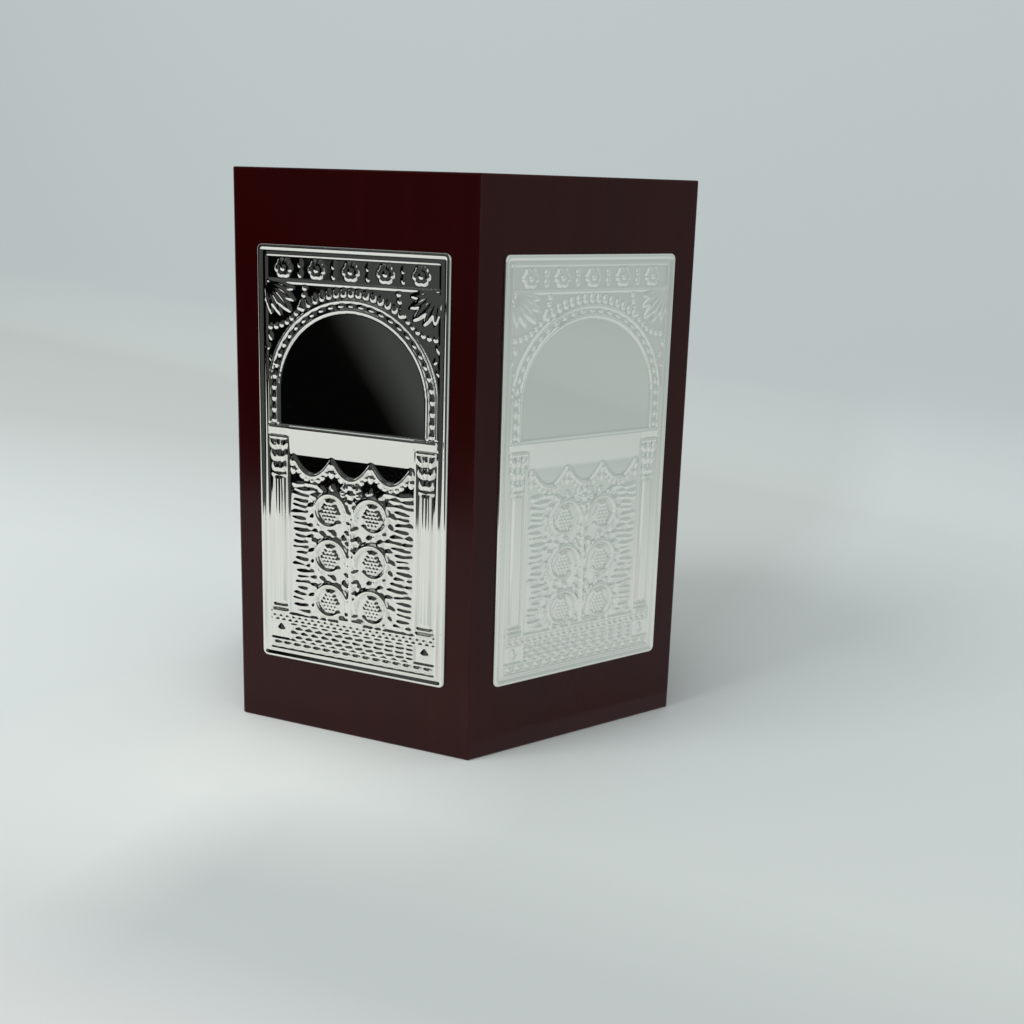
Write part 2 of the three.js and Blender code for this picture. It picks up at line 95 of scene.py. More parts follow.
def noise(tree, place, size, detail=2.0, stretch=(1, 1, 1)):  # size is the grain in metres
    mapped = addNode(tree, "ShaderNodeMapping", {"Vector": place, "Scale": stretch})
    inputs = {"Vector": mapped.outputs[0], "Scale": 1 / size, "Detail": detail}
    return addNode(tree, "ShaderNodeTexNoise", inputs).outputs[0]


def blend(tree, share, first, second):  # colours
    inputs = {0: share, 6: first, 7: second}
    return addNode(tree, "ShaderNodeMix", inputs, data_type="RGBA").outputs[2]


def newMaterial(name):
    material = bpy.data.materials.new(name)
    material.use_nodes = True
    tree = material.node_tree
    return material, tree, tree.nodes["Principled BSDF"]


def objectPlace(tree):
    return addNode(tree, "ShaderNodeTexCoord").outputs["Object"]


def bumped(tree, *layers):  # layers of (height 0..1, depth in metres)
    below = {}
    for height, depth in layers:
        inputs = {"Height": height, "Distance": depth, "Strength": 1.0, **below}
        below = {"Normal": addNode(tree, "ShaderNodeBump", inputs).outputs[0]}
    return below["Normal"]


# mahogany lacquer: a clear satin coat over a dark red stain, the pores of the wood just showing
lacquerLook = {
    "deep": shown(41, 2, 2),
    "warm": shown(47, 3, 3),
    "thin": shown(60, 12, 9),    # where the edges are rubbed
    "figure": {"size": 9 * mm, "detail": 4.0, "stretch": (1, 1, 0.16)},
    "figureRange": (0.3, 0.72),
    "pores": {"size": 0.5 * mm, "stretch": (1, 1, 0.05)},
    "poreDepth": 0.003 * mm,
    "peel": {"size": 1.6 * mm, "detail": 1.0},    # the orange peel of a sprayed coat
    "peelDepth": 0.003 * mm,
    "wear": 0.9 * mm,            # how far in from an edge the rubbing reaches
    "rub": {"size": 7 * mm, "detail": 5.0},
    "rubRange": (0.4, 0.75),
    "rubMost": 0.7,
    "touch": {"size": 26 * mm, "detail": 5.0},
    "touchRange": (0.38, 0.7),
    "satin": 0.15,               # roughness where clean
    "handled": 0.23,             # and where touched
    "specular": 0.245,
}


def combined(tree, operation, values):
    result = values[0]
    for value in values[1:]:
        result = calc(tree, operation, result, value)
    return result


def edgeCloseness(tree, place, reach):  # 1 on the box's corners and rims, 0 further in
    across = []
    for number in range(sides // 2):
        normal = (math.sin(turn * number), math.cos(turn * number), 0.0)
        inputs = {0: place, 1: normal}
        dot = addNode(tree, "ShaderNodeVectorMath", inputs, operation="DOT_PRODUCT")
        across.append(calc(tree, "ABSOLUTE", dot.outputs["Value"]))
    nearest = combined(tree, "MAXIMUM", across)
    furthest = combined(tree, "MINIMUM", across)
    ends = calc(tree, "ADD", nearest, furthest)
    second = calc(tree, "SUBTRACT", combined(tree, "ADD", across), ends)
    height = addNode(tree, "ShaderNodeSeparateXYZ", {0: place}).outputs[2]
    middle = bodyHeight / 2
    fromMiddle = calc(tree, "ABSOLUTE", calc(tree, "SUBTRACT", height, middle))
    corner = scaled(tree, second, apothem - reach, apothem, 0.0, 1.0)
    rim = scaled(tree, fromMiddle, middle - reach, middle, 0.0, 1.0)
    return calc(tree, "MAXIMUM", corner, rim)


def lacquerMaterial(name, look):
    material, tree, shader = newMaterial(name)
    place = objectPlace(tree)
    figure = noise(tree, place, **look["figure"])
    pores = noise(tree, place, **look["pores"])
    peel = noise(tree, place, **look["peel"])
    touch = noise(tree, place, **look["touch"])
    rub = noise(tree, place, **look["rub"])
    share = scaled(tree, figure, *look["figureRange"], 0.0, 1.0)
    stain = blend(tree, share, look["deep"], look["warm"])
    patchy = scaled(tree, rub, *look["rubRange"], 0.0, look["rubMost"])
    rubbed = calc(tree, "MULTIPLY", edgeCloseness(tree, place, look["wear"]), patchy)
    feed(tree, shader, {
        "Base Color": blend(tree, rubbed, stain, look["thin"]),
        "Roughness": scaled(tree, touch, *look["touchRange"], look["satin"], look["handled"]),
        "Specular IOR Level": look["specular"],
        "Normal": bumped(tree, (pores, look["poreDepth"]), (peel, look["peelDepth"])),
    })
    return material


# the bare side of the boards, sealed but not lacquered
bareWoodLook = {
    "early": shown(126, 74, 50),
    "late": shown(88, 45, 30),
    "rings": {"size": 5 * mm, "detail": 5.0, "stretch": (1, 1, 0.12)},
    "ringRange": (0.36, 0.64),
    "pores": {"size": 0.45 * mm, "detail": 3.0, "stretch": (1, 1, 0.12)},
    "poreRange": (0.25, 0.5),
    "poreDark": 0.55,
    "poreDepth": 0.03 * mm,
    "roughness": 0.62,
}


def bareWoodMaterial(name, look):
    material, tree, shader = newMaterial(name)
    place = objectPlace(tree)
    rings = noise(tree, place, **look["rings"])
    pores = noise(tree, place, **look["pores"])
    share = scaled(tree, rings, *look["ringRange"], 0.0, 1.0)
    grain = blend(tree, share, look["early"], look["late"])
    dark = scaled(tree, pores, *look["poreRange"], look["poreDark"], 0.0)
    feed(tree, shader, {
        "Base Color": blend(tree, dark, grain, look["late"]),
        "Roughness": look["roughness"],
        "Normal": bumped(tree, (pores, look["poreDepth"])),
    })
    return material


# silver plate over the pressed relief: bright on the heights, a breath of tarnish in the hollows
silverLook = {
    "bright": (0.945, 0.93, 0.875, 1.0),
    "hollow": (0.61, 0.60, 0.55, 1.0),
    "wipe": {"size": 30 * mm},               # where a cloth has gone over it
    "wipeRange": (0.42, 0.75),
    "polish": 0.035,
    "smudge": 0.10,
    "tarnishRange": (0.3, 0.7, 0.6, 1.0),    # from how far wiped to how much is left
    "dull": 0.14,                            # roughness added in the hollows
    "ripple": {"size": 8 * mm, "detail": 1.0},
    "rippleDepth": 0.003 * mm,
    "hairs": {"size": 0.25 * mm, "stretch": (0.2, 0.2, 1.6)},
    "hairDepth": 0.0003 * mm,
}


def silverMaterial(name, look):
    material, tree, shader = newMaterial(name)
    place = objectPlace(tree)
    hollow = addNode(tree, "ShaderNodeAttribute", attribute_name="hollow").outputs["Fac"]
    wipe = noise(tree, place, **look["wipe"])
    ripple = noise(tree, place, **look["ripple"])
    hairs = noise(tree, place, **look["hairs"])
    tarnish = calc(tree, "MULTIPLY", hollow, scaled(tree, wipe, *look["tarnishRange"]))
    clean = scaled(tree, wipe, *look["wipeRange"], look["polish"], look["smudge"])
    feed(tree, shader, {
        "Base Color": blend(tree, tarnish, look["bright"], look["hollow"]),
        "Roughness": calc(tree, "MULTIPLY_ADD", tarnish, look["dull"], clean),
        "Metallic": 1.0,
        "Normal": bumped(tree, (ripple, look["rippleDepth"]), (hairs, look["hairDepth"])),
    })
    return material


# small steel: nickelled and brushed, or plain and ground, and the plated magnets
nickelLook = {
    "colour": (0.70, 0.67, 0.62, 1.0),
    "stain": (0.56, 0.52, 0.45, 1.0),
    "roughness": 0.24,
    "along": (0.06, 1, 1),       # which way it was brushed
}
steelLook = {
    "colour": (0.56, 0.57, 0.58, 1.0),
    "stain": (0.40, 0.38, 0.35, 1.0),
    "roughness": 0.36,
    "along": (1, 0.06, 1),
}
magnetLook = {
    "colour": (0.74, 0.74, 0.75, 1.0),
    "stain": (0.62, 0.62, 0.64, 1.0),
    "roughness": 0.15,
    "along": (1, 1, 1),
}
metalGrain = {
    "brush": {"size": 0.18 * mm, "detail": 3.0},
    "brushRange": (0.3, 0.7, -0.07, 0.09),    # from the noise to a change of roughness
    "brushDepth": 0.0015 * mm,
    "spots": {"size": 0.8 * mm, "detail": 6.0},
    "spotRange": (0.54, 0.8),
    "spotDull": 0.10,
}


def metalMaterial(name, look, grain):
    material, tree, shader = newMaterial(name)
    place = objectPlace(tree)
    brush = noise(tree, place, stretch=look["along"], **grain["brush"])
    spots = noise(tree, place, **grain["spots"])
    share = scaled(tree, spots, *grain["spotRange"], 0.0, 1.0)
    clean = calc(tree, "ADD", scaled(tree, brush, *grain["brushRange"]), look["roughness"])
    feed(tree, shader, {
        "Base Color": blend(tree, share, look["colour"], look["stain"]),
        "Roughness": calc(tree, "MULTIPLY_ADD", share, grain["spotDull"], clean),
        "Metallic": 1.0,
        "Normal": bumped(tree, (brush, grain["brushDepth"])),
    })
    return material


lacquer = lacquerMaterial("mahoganyLacquer", lacquerLook)
bareWood = bareWoodMaterial("sealedMahogany", bareWoodLook)
silver = silverMaterial("silverPlate", silverLook)
nickel = metalMaterial("nickelledSteel", nickelLook, metalGrain)
steel = metalMaterial("groundSteel", steelLook, metalGrain)
magnetFace = metalMaterial("platedMagnet", magnetLook, metalGrain)
print("finishes ready")


def linked(name, mesh):
    piece = bpy.data.objects.new(name, mesh)
    scene.collection.objects.link(piece)
    return piece


def plainMesh(piece):  # what the piece's modifiers make of it, as its own mesh
    graph = bpy.context.evaluated_depsgraph_get()
    evaluated = piece.evaluated_get(graph)
    made = bpy.data.meshes.new_from_object(evaluated, preserve_all_data_layers=True, depsgraph=graph)
    piece.modifiers.clear()
    piece.data = made
    return piece


def fromShape(name, shape, *materials):
    bmesh.ops.remove_doubles(shape, verts=shape.verts, dist=1e-7)
    bmesh.ops.recalc_face_normals(shape, faces=shape.faces)
    mesh = bpy.data.meshes.new(name)
    shape.to_mesh(mesh)
    shape.free()
    for material in materials:
        mesh.materials.append(material)
    return linked(name, mesh)


def skin(shape, rings):  # closed rings of points, joined in turn and capped
    rows = [[shape.verts.new(p) for p in ring] for ring in rings]
    for row, after in zip(rows, rows[1:]):
        for index in range(len(row)):
            nextOne = (index + 1) % len(row)
            shape.faces.new((row[index], row[nextOne], after[nextOne], after[index]))
    shape.faces.new(rows[0])
    shape.faces.new(rows[-1])


def skinned(name, rings, *materials):
    shape = bmesh.new()
    skin(shape, rings)
    return fromShape(name, shape, *materials)


def evenShading(piece, angle=40):  # round edges smooth, broad faces flat
    piece.data.shade_smooth()
    piece.data.set_sharp_from_angle(angle=math.radians(angle))
    modifier = piece.modifiers.new("flatFaces", "WEIGHTED_NORMAL")
    modifier.keep_sharp = True
    return plainMesh(piece)


def settle(piece, body, slot, *nodes):
    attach(piece, body)
    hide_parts(*nodes)


def solidOf(piece, other, operation):  # uses the other up
    modifier = piece.modifiers.new("solid", "BOOLEAN")
    modifier.operation = operation
    modifier.solver = "EXACT"
    modifier.object = other
    plainMesh(piece)
    bpy.data.objects.remove(other)


def cutAway(piece, cutter):
    solidOf(piece, cutter, "DIFFERENCE")


def joinedTo(piece, other):
    solidOf(piece, other, "UNION")


# six mitred boards, lacquered over, so each corner is one soft edge
board = {
    "corner": 0.92 * mm,     # rounding of the upright corners
    "rim": 0.4 * mm,         # rounding of the upper and lower rims
    "lipEase": 0.25 * mm,    # where the boards meet the top
    "grooveSlack": 0.15 * mm,
    "steps": 4,
    "tongue": (6 * mm, 10 * mm),    # from where to where the base is let in
}


def quarter(d, z, radius, startDegrees, steps):  # centre, then a quarter turn
    points = []
    for step in range(steps + 1):
        angle = math.radians(startDegrees + 90 * step / steps)
        points.append((d + radius * math.cos(angle), z + radius * math.sin(angle)))
    return points


def boardSection(look):
    rim, ease, slack = look["rim"], look["lipEase"], look["grooveSlack"]
    lip = -topLow.y + slack
    groove = -baseLow.y + slack
    low, high = look["tongue"][0] - slack, look["tongue"][1] + slack
    floor = topLow.z - slack
    section = quarter(apothem - rim, rim, rim, -90, look["steps"])
    section += quarter(apothem - rim, bodyHeight - rim, rim, 0, look["steps"])
    section += [(lip + ease, bodyHeight), (lip, bodyHeight - ease), (lip, floor)]
    section += [(innerApothem, floor), (innerApothem, high), (groove, high), (groove, low)]
    section += [(innerApothem, low), (innerApothem, rim), (innerApothem + rim, 0)]
    return section


def boardAcross(look, d, z):  # one level of a board, from mitre to mitre
    inset = apothem - d
    arm = max(look["corner"] - inset, 0)
    centre = apothem - look["corner"] if inset < look["corner"] else d
    left = []
    for step in range(look["steps"] + 1):
        angle = halfTurn * (1 - step / look["steps"])
        x = centre * math.tan(halfTurn) + arm * math.sin(angle)
        left.append((-x, -(centre + arm * math.cos(angle)), z))
    return left + [(-x, y, z) for x, y, z in reversed(left)]


def makeBoard(number, look):
    shape = bmesh.new()
    rows = [[shape.verts.new(p) for p in boardAcross(look, d, z)] for d, z in boardSection(look)]
    for row, after in zip(rows, rows[1:] + rows[:1]):
        for index in range(len(row) - 1):
            shape.faces.new((row[index], row[index + 1], after[index + 1], after[index]))
    shape.faces.new([row[0] for row in rows])
    shape.faces.new([row[-1] for row in rows])
    inside = innerApothem + hair
    for face in shape.faces:
        if all(-v.co.y < inside for v in face.verts):
            face.material_index = 1
    shape.transform(Matrix.Rotation(turn * number, 4, "Z"))
    piece = evenShading(fromShape(f"board{number + 1}", shape, lacquer, bareWood))
    settle(piece, "case", "lacquered_wood", f"side_panel_{number + 1}")


for number in range(sides):
    makeBoard(number, board)
print("boards ready")

# the top board with its coin slot
top = {
    "ease": 0.3 * mm,
    "slotLength": 40 * mm,
    "slotWidth": 5 * mm,
    "slotRound": 0.8 * mm,   # how softly the slot's edges roll in
    "slotSteps": 16,
    "rollSteps": 6,
    "beyond": (1 * mm, 0.4 * mm),    # how far its cutter goes on, and widens there
}


def hexagon(reach, z):
    corner = reach / math.cos(halfTurn)
    angles = [turn * index + halfTurn for index in range(sides)]
    return [(corner * math.sin(a), corner * math.cos(a), z) for a in angles]


def slotRing(length, width, steps, z):
    ring = []
    for side in (1, -1):
        for step in range(steps + 1):
            angle = math.pi * step / steps - math.pi / 2
            x = side * ((length - width) / 2 + width / 2 * math.cos(angle))
            ring.append((x, side * width / 2 * math.sin(angle), z))
    return ring


def slotCutter(look):
    roll, steps = look["slotRound"], look["rollSteps"]
    further, wider = look["beyond"]
    levels = []
    for step in range(steps + 1):  # a quarter round that opens upwards
        angle = math.pi / 2 * step / steps
        levels.append((topHigh.z - roll * (1 - math.sin(angle)), roll * (1 - math.cos(angle))))
    levels.append((topHigh.z + further, roll + wider))
    mirrored = [(topLow.z + topHigh.z - z, grow) for z, grow in reversed(levels)]
    rings = []
    for z, grow in mirrored + levels:
        length, width = look["slotLength"] + 2 * grow, look["slotWidth"] + 2 * grow
        rings.append(slotRing(length, width, look["slotSteps"], z))
    return skinned("slotCutter", rings)


def bevelled(piece, width, segments=2, angle=40):
    modifier = piece.modifiers.new("ease", "BEVEL")
    modifier.width = width
    modifier.segments = segments
    modifier.limit_method = "ANGLE"
    modifier.angle_limit = math.radians(angle)
    return plainMesh(piece)


topBoard = skinned("topBoard", [hexagon(-topLow.y, z) for z in (topLow.z, topHigh.z)], lacquer)
bevelled(topBoard, top["ease"])
cutAway(topBoard, slotCutter(top))
evenShading(topBoard)
settle(topBoard, "case", "lacquered_wood", "top_panel")
print("top ready")


# base and hatch keep the solids' shape, with their edges broken
underside = {"ease": 0.35 * mm, "hatchEase": 0.4 * mm}


def easedCopy(name, node, width, material):
    shape = bmesh.new()
    shape.from_mesh(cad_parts[node].data)
    bmesh.ops.remove_doubles(shape, verts=shape.verts, dist=1e-6)
    bmesh.ops.dissolve_limit(
        shape, angle_limit=math.radians(1), verts=shape.verts, edges=shape.edges
    )
    piece = fromShape(name, shape, material)
    bevelled(piece, width)
    return evenShading(piece)


baseBoard = easedCopy("baseBoard", "base_panel", underside["ease"], lacquer)
settle(baseBoard, "case", "lacquered_wood", "base_panel")
hatchBoard = easedCopy("hatchBoard", "hatch_panel", underside["hatchEase"], lacquer)
settle(hatchBoard, "hatch", "lacquered_wood", "hatch_panel")
print("base and hatch ready")


def newTree(name, *inputs):  # inputs as (name, socket kind) or (name, socket kind, value)
    tree = bpy.data.node_groups.new(name, "GeometryNodeTree")
    face = tree.interface
    face.new_socket("Geometry", in_out="INPUT", socket_type="NodeSocketGeometry")
    for label, kind, *values in inputs:
        socket = face.new_socket(label, in_out="INPUT", socket_type="NodeSocket" + kind)
        for value in values:
            socket.default_value = value
    face.new_socket("Finish", in_out="INPUT", socket_type="NodeSocketMaterial")
    face.new_socket("Geometry", in_out="OUTPUT", socket_type="NodeSocketGeometry")
    return tree, tree.nodes.new("NodeGroupInput").outputs


def closeTree(tree, given, geometry):
    real = addNode(tree, "GeometryNodeRealizeInstances", {"Geometry": geometry})
    inputs = {"Geometry": real.outputs[0], "Material": given["Finish"]}
    painted = addNode(tree, "GeometryNodeSetMaterial", inputs)
    tree.links.new(painted.outputs[0], tree.nodes.new("NodeGroupOutput").inputs[0])
    return tree


def runTree(piece, tree, **values):
    modifier = piece.modifiers.new(tree.name, "NODES")
    modifier.node_group = tree
    for socket in tree.interface.items_tree:
        key = socket.name[0].lower() + socket.name[1:].replace(" ", "")
        if socket.in_out == "INPUT" and key in values:
            modifier[socket.identifier] = values[key]
    return plainMesh(piece)


def namedNumber(tree, name):
    inputs = {"Name": name}
    return addNode(tree, "GeometryNodeInputNamedAttribute", inputs, data_type="FLOAT").outputs[0]


def vector(tree, x=0.0, y=0.0, z=0.0):
    return addNode(tree, "ShaderNodeCombineXYZ", {0: x, 1: y, 2: z}).outputs[0]


def vectorMath(tree, operation, inputs):
    return addNode(tree, "ShaderNodeVectorMath", inputs, operation=operation).outputs[0]


def objectShape(tree, piece):
    return addNode(tree, "GeometryNodeObjectInfo", {"Object": piece}).outputs["Geometry"]


def spun(tree, angle, axis=(0.0, 0.0, 1.0)):
    inputs = {"Axis": axis, "Angle": angle}
    return addNode(tree, "FunctionNodeAxisAngleToRotation", inputs).outputs[0]


def spunFrom(tree, first, then):
    inputs = {"Rotation": first, "Rotate By": then}
    return addNode(tree, "FunctionNodeRotateRotation", inputs, rotation_space="LOCAL").outputs[0]


def pointedAlong(tree, way):
    return addNode(
        tree, "FunctionNodeAlignRotationToVector", {"Vector": way}, axis="X", pivot_axis="Z"
    ).outputs[0]


def sizedBy(tree, given):  # the motif's measures, grown by each point's own size
    sizes = vector(tree, given["Length"], given["Width"], given["Height"])
    return vectorMath(tree, "SCALE", {0: sizes, "Scale": namedNumber(tree, "size")})


def instanced(tree, points, shape, **turnAndScale):
    inputs = {"Points": points, "Instance": shape, **turnAndScale}
    return addNode(tree, "GeometryNodeInstanceOnPoints", inputs).outputs[0]


# a rounded moulding drawn along lines that lie flat
def mouldingTree():
    tree, given = newTree("moulding", ("Width", "Float"), ("Height", "Float"), ("Sides", "Int", 16))
    line = addNode(tree, "GeometryNodeMeshToCurve", {"Mesh": given["Geometry"]})
    half = calc(tree, "MULTIPLY", given["Width"], 0.5)
    ring = addNode(
        tree, "GeometryNodeCurvePrimitiveCircle", {"Resolution": given["Sides"], "Radius": half}
    )
    inputs = {
        "Curve": line.outputs[0],
        "Profile Curve": ring.outputs[0],
        "Scale": namedNumber(tree, "size"),
        "Fill Caps": True,
    }
    swept = addNode(tree, "GeometryNodeCurveToMesh", inputs)
    flat = vector(tree, 1.0, 1.0, calc(tree, "DIVIDE", given["Height"], half))
    inputs = {"Geometry": swept.outputs[0], "Scale": flat}
    return closeTree(tree, given, addNode(tree, "GeometryNodeTransform", inputs).outputs[0])


# one motif repeated along lines that lie flat, in step or left and right by turns
def rowTree():
    tree, given = newTree(
        "row",
        ("Motif", "Object"),
        ("Spacing", "Float"),
        ("Length", "Float"),
        ("Width", "Float"),
        ("Height", "Float"),
        ("Turn", "Float"),
        ("Splay", "Float"),
    )
    line = addNode(tree, "GeometryNodeMeshToCurve", {"Mesh": given["Geometry"]})
    inputs = {"Curve": line.outputs[0], "Length": given["Spacing"]}
    spaced = addNode(tree, "GeometryNodeResampleCurve", inputs, mode="LENGTH")
    tangent = tree.nodes.new("GeometryNodeInputTangent").outputs[0]
    index = tree.nodes.new("GeometryNodeInputIndex").outputs[0]
    hand = calc(tree, "MULTIPLY_ADD", calc(tree, "MODULO", index, 2.0), 2.0, -1.0)
    swing = calc(tree, "MULTIPLY", calc(tree, "MULTIPLY", hand, -1.0), given["Splay"])
    angle = calc(tree, "ADD", given["Turn"], swing)
    facing = spunFrom(tree, pointedAlong(tree, tangent), spun(tree, angle))
    motif = objectShape(tree, given["Motif"])
    placed = instanced(tree, spaced.outputs[0], motif, Rotation=facing, Scale=sizedBy(tree, given))
    return closeTree(tree, given, placed)


# one motif set down at single points, each with its own size and turn
def spotTree():
    tree, given = newTree(
        "spot", ("Motif", "Object"), ("Length", "Float"), ("Width", "Float"), ("Height", "Float")
    )
    facing = spun(tree, namedNumber(tree, "turn"))
    motif = objectShape(tree, given["Motif"])
    placed = instanced(tree, given["Geometry"], motif, Rotation=facing, Scale=sizedBy(tree, given))
    return closeTree(tree, given, placed)


# petals round a boss, repeated at single points
flower = {
    "ring": 0.2,             # where the petals begin, as a share of its reach
    "petal": 0.8,
    "boss": 0.72,
    "bossHeight": 1.25,      # as a share of the petals'
}


def rosetteTree(look):
    tree, given = newTree(
        "rosette",
        ("Petal", "Object"),
        ("Boss", "Object"),
        ("Petals", "Int"),
        ("Reach", "Float"),
        ("Petal Width", "Float"),
        ("Height", "Float"),
    )
    inner, long, broad = (
        calc(tree, "MULTIPLY", given["Reach"], look[key]) for key in ("ring", "petal", "boss")
    )
    high = calc(tree, "MULTIPLY", given["Height"], look["bossHeight"])
    ring = addNode(tree, "GeometryNodeMeshCircle", {"Vertices": given["Petals"], "Radius": inner})
    outward = pointedAlong(tree, tree.nodes.new("GeometryNodeInputPosition").outputs[0])
    petal = objectShape(tree, given["Petal"])
    measures = vector(tree, long, given["Petal Width"], given["Height"])
    petals = instanced(tree, ring.outputs[0], petal, Rotation=outward, Scale=measures)
    boss = objectShape(tree, given["Boss"])
    inputs = {"Geometry": boss, "Scale": vector(tree, broad, broad, high)}
    middle = addNode(tree, "GeometryNodeTransform", inputs)
    joined = tree.nodes.new("GeometryNodeJoinGeometry")
    tree.links.new(petals, joined.inputs[0])
    tree.links.new(middle.outputs[0], joined.inputs[0])
    size = namedNumber(tree, "size")
    grown = vector(tree, size, size, 1.0)
    return closeTree(tree, given, instanced(tree, given["Geometry"], joined.outputs[0], Scale=grown))


# the same screw set in each hole, its cross turned at random
def screwTree():
    tree, given = newTree("screws", ("Pattern", "Object"), ("Tip Over", "Float"), ("Seed", "Int", 5))
    inputs = {2: 0.0, 3: math.pi / 2, "Seed": given["Seed"]}
    angle = addNode(tree, "FunctionNodeRandomValue", inputs, data_type="FLOAT").outputs[1]
    tipped = spun(tree, given["Tip Over"], (1.0, 0.0, 0.0))
    facing = spunFrom(tree, tipped, spun(tree, angle))
    pattern = objectShape(tree, given["Pattern"])
    return closeTree(tree, given, instanced(tree, given["Geometry"], pattern, Rotation=facing))


# thin silver pressed over the carved die: each point drops to what lies under it
def pressTree():
    tree, given = newTree(
        "press",
        ("Die", "Object"),
        ("Drop From", "Float", 5 * mm),
        ("Drop", "Float", 6 * mm),
        ("Soften", "Int", 1),
        ("Hollow Reach", "Int", 8),
        ("Hollow Depth", "Float", 0.3 * mm),
        ("Ripple", "Float", 0.02 * mm),
        ("Ripple Size", "Float", 18 * mm),
        ("Seed", "Float", 3.0),
    )
    place = tree.nodes.new("GeometryNodeInputPosition").outputs[0]
    lift = vector(tree, z=given["Drop From"])
    inputs = {
        "Target Geometry": objectShape(tree, given["Die"]),
        "Source Position": vectorMath(tree, "ADD", {0: place, 1: lift}),
        "Ray Direction": (0.0, 0.0, -1.0),
        "Ray Length": given["Drop"],
    }
    cast = addNode(tree, "GeometryNodeRaycast", inputs)
    hit = addNode(tree, "ShaderNodeSeparateXYZ", {0: cast.outputs["Hit Position"]})
    height = calc(tree, "MULTIPLY", hit.outputs[2], cast.outputs["Is Hit"])
    inputs = {"Value": calc(tree, "MAXIMUM", height, 0.0), "Iterations": given["Soften"]}
    soft = addNode(tree, "GeometryNodeBlurAttribute", inputs).outputs[0]
    inputs = {"Value": soft, "Iterations": given["Hollow Reach"]}
    wide = addNode(tree, "GeometryNodeBlurAttribute", inputs).outputs[0]
    deep = calc(tree, "DIVIDE", calc(tree, "SUBTRACT", wide, soft), given["Hollow Depth"])
    inputs = {
        "Geometry": given["Geometry"],
        "Name": "hollow",
        "Value": addNode(tree, "ShaderNodeClamp", {0: deep}).outputs[0],
    }
    noted = addNode(tree, "GeometryNodeStoreNamedAttribute", inputs)
    inputs = {
        "Vector": place,
        "W": given["Seed"],
        "Scale": calc(tree, "DIVIDE", 1.0, given["Ripple Size"]),
        "Detail": 1.0,
    }
    wave = addNode(tree, "ShaderNodeTexNoise", inputs, noise_dimensions="4D").outputs[0]
    sway = calc(tree, "MULTIPLY", calc(tree, "SUBTRACT", wave, 0.5), given["Ripple"])
    inputs = {
        "Geometry": noted.outputs[0],
        "Offset": vector(tree, 0.0, 0.0, calc(tree, "ADD", soft, sway)),
    }
    return closeTree(tree, given, addNode(tree, "GeometryNodeSetPosition", inputs).outputs[0])


moulding = mouldingTree()
row = rowTree()
spot = spotTree()
rosette = rosetteTree(flower)
screws = screwTree()
press = pressTree()


def drawn(name, paths, closed=False):  # lines of (u, v, size), in millimetres
    points, edges, sizes = [], [], []
    for path in paths:
        first = len(points)
        points += [(u * mm, v * mm, 0) for u, v, size in path]
        sizes += [size for u, v, size in path]
        edges += [(index, index + 1) for index in range(first, len(points) - 1)]
        if closed:
            edges.append((len(points) - 1, first))
    mesh = bpy.data.meshes.new(name)
    mesh.from_pydata(points, edges, [])
    mesh.attributes.new("size", "FLOAT", "POINT").data.foreach_set("value", sizes)
    return linked(name, mesh)


def dotted(name, points):  # single points of (u, v, size, turn in degrees)
    mesh = bpy.data.meshes.new(name)
    mesh.from_pydata([(u * mm, v * mm, 0) for u, v, size, angle in points], [], [])
    sizes = [size for u, v, size, angle in points]
    turns = [math.radians(angle) for u, v, size, angle in points]
    mesh.attributes.new("size", "FLOAT", "POINT").data.foreach_set("value", sizes)
    mesh.attributes.new("turn", "FLOAT", "POINT").data.foreach_set("value", turns)
    return linked(name, mesh)


def arc(u, v, radius, start, end, steps, size=1.0):  # angles in degrees from the right
    points = []
    for step in range(steps + 1):
        angle = math.radians(start + (end - start) * step / steps)
        points.append((u + radius * math.cos(angle), v + radius * math.sin(angle), size))
    return points


def roundedFrame(inset, corner, steps=8):  # parallel to the plaque's outline, from its lower edge
    half, r = plaque["width"] / 2 - inset, corner - inset
    low, high = inset, plaque["height"] - inset
    return (
        arc(half - r, low + r, r, -90, 0, steps)
        + arc(half - r, high - r, r, 0, 90, steps)
        + arc(-half + r, high - r, r, 90, 180, steps)
        + arc(-half + r, low + r, r, 180, 270, steps)
    )


def level(v, half, size=1.0, middle=0.0):
    return [(middle - half, v, size), (middle + half, v, size)]


def ball(name, divisions):
    shape = bmesh.new()
    bmesh.ops.create_icosphere(shape, subdivisions=divisions, radius=0.5)
    for vertex in shape.verts:
        vertex.co.z *= 2
    return fromShape(name, shape)


def lozengeMotif():
    shape = bmesh.new()
    rim = [shape.verts.new(p) for p in ((0.5, 0, 0), (0, 0.5, 0), (-0.5, 0, 0), (0, -0.5, 0))]
    for z in (1, -1):
        peak = shape.verts.new((0, 0, z))
        for index in range(4):
            shape.faces.new((rim[index], rim[(index + 1) % 4], peak))
    return fromShape("lozengeMotif", shape)


# a leaf of unit length with a vein, and a blunter one for petals
leafLook = {
    "widths": (0.08, 0.30, 0.46, 0.50, 0.42, 0.26, 0.0),    # half widths along it
    "ridge": 0.55,           # where its two ridges lie, as a share of the half width
    "vein": 0.55,            # the vein's height, as a share of the ridges'
    "hem": -0.2,             # its border, sunk below the ground
    "tip": 0.35,             # height of its two ends
}
petalLook = dict(leafLook, widths=(0.10, 0.24, 0.38, 0.48, 0.50, 0.36, 0.0), vein=0.6)


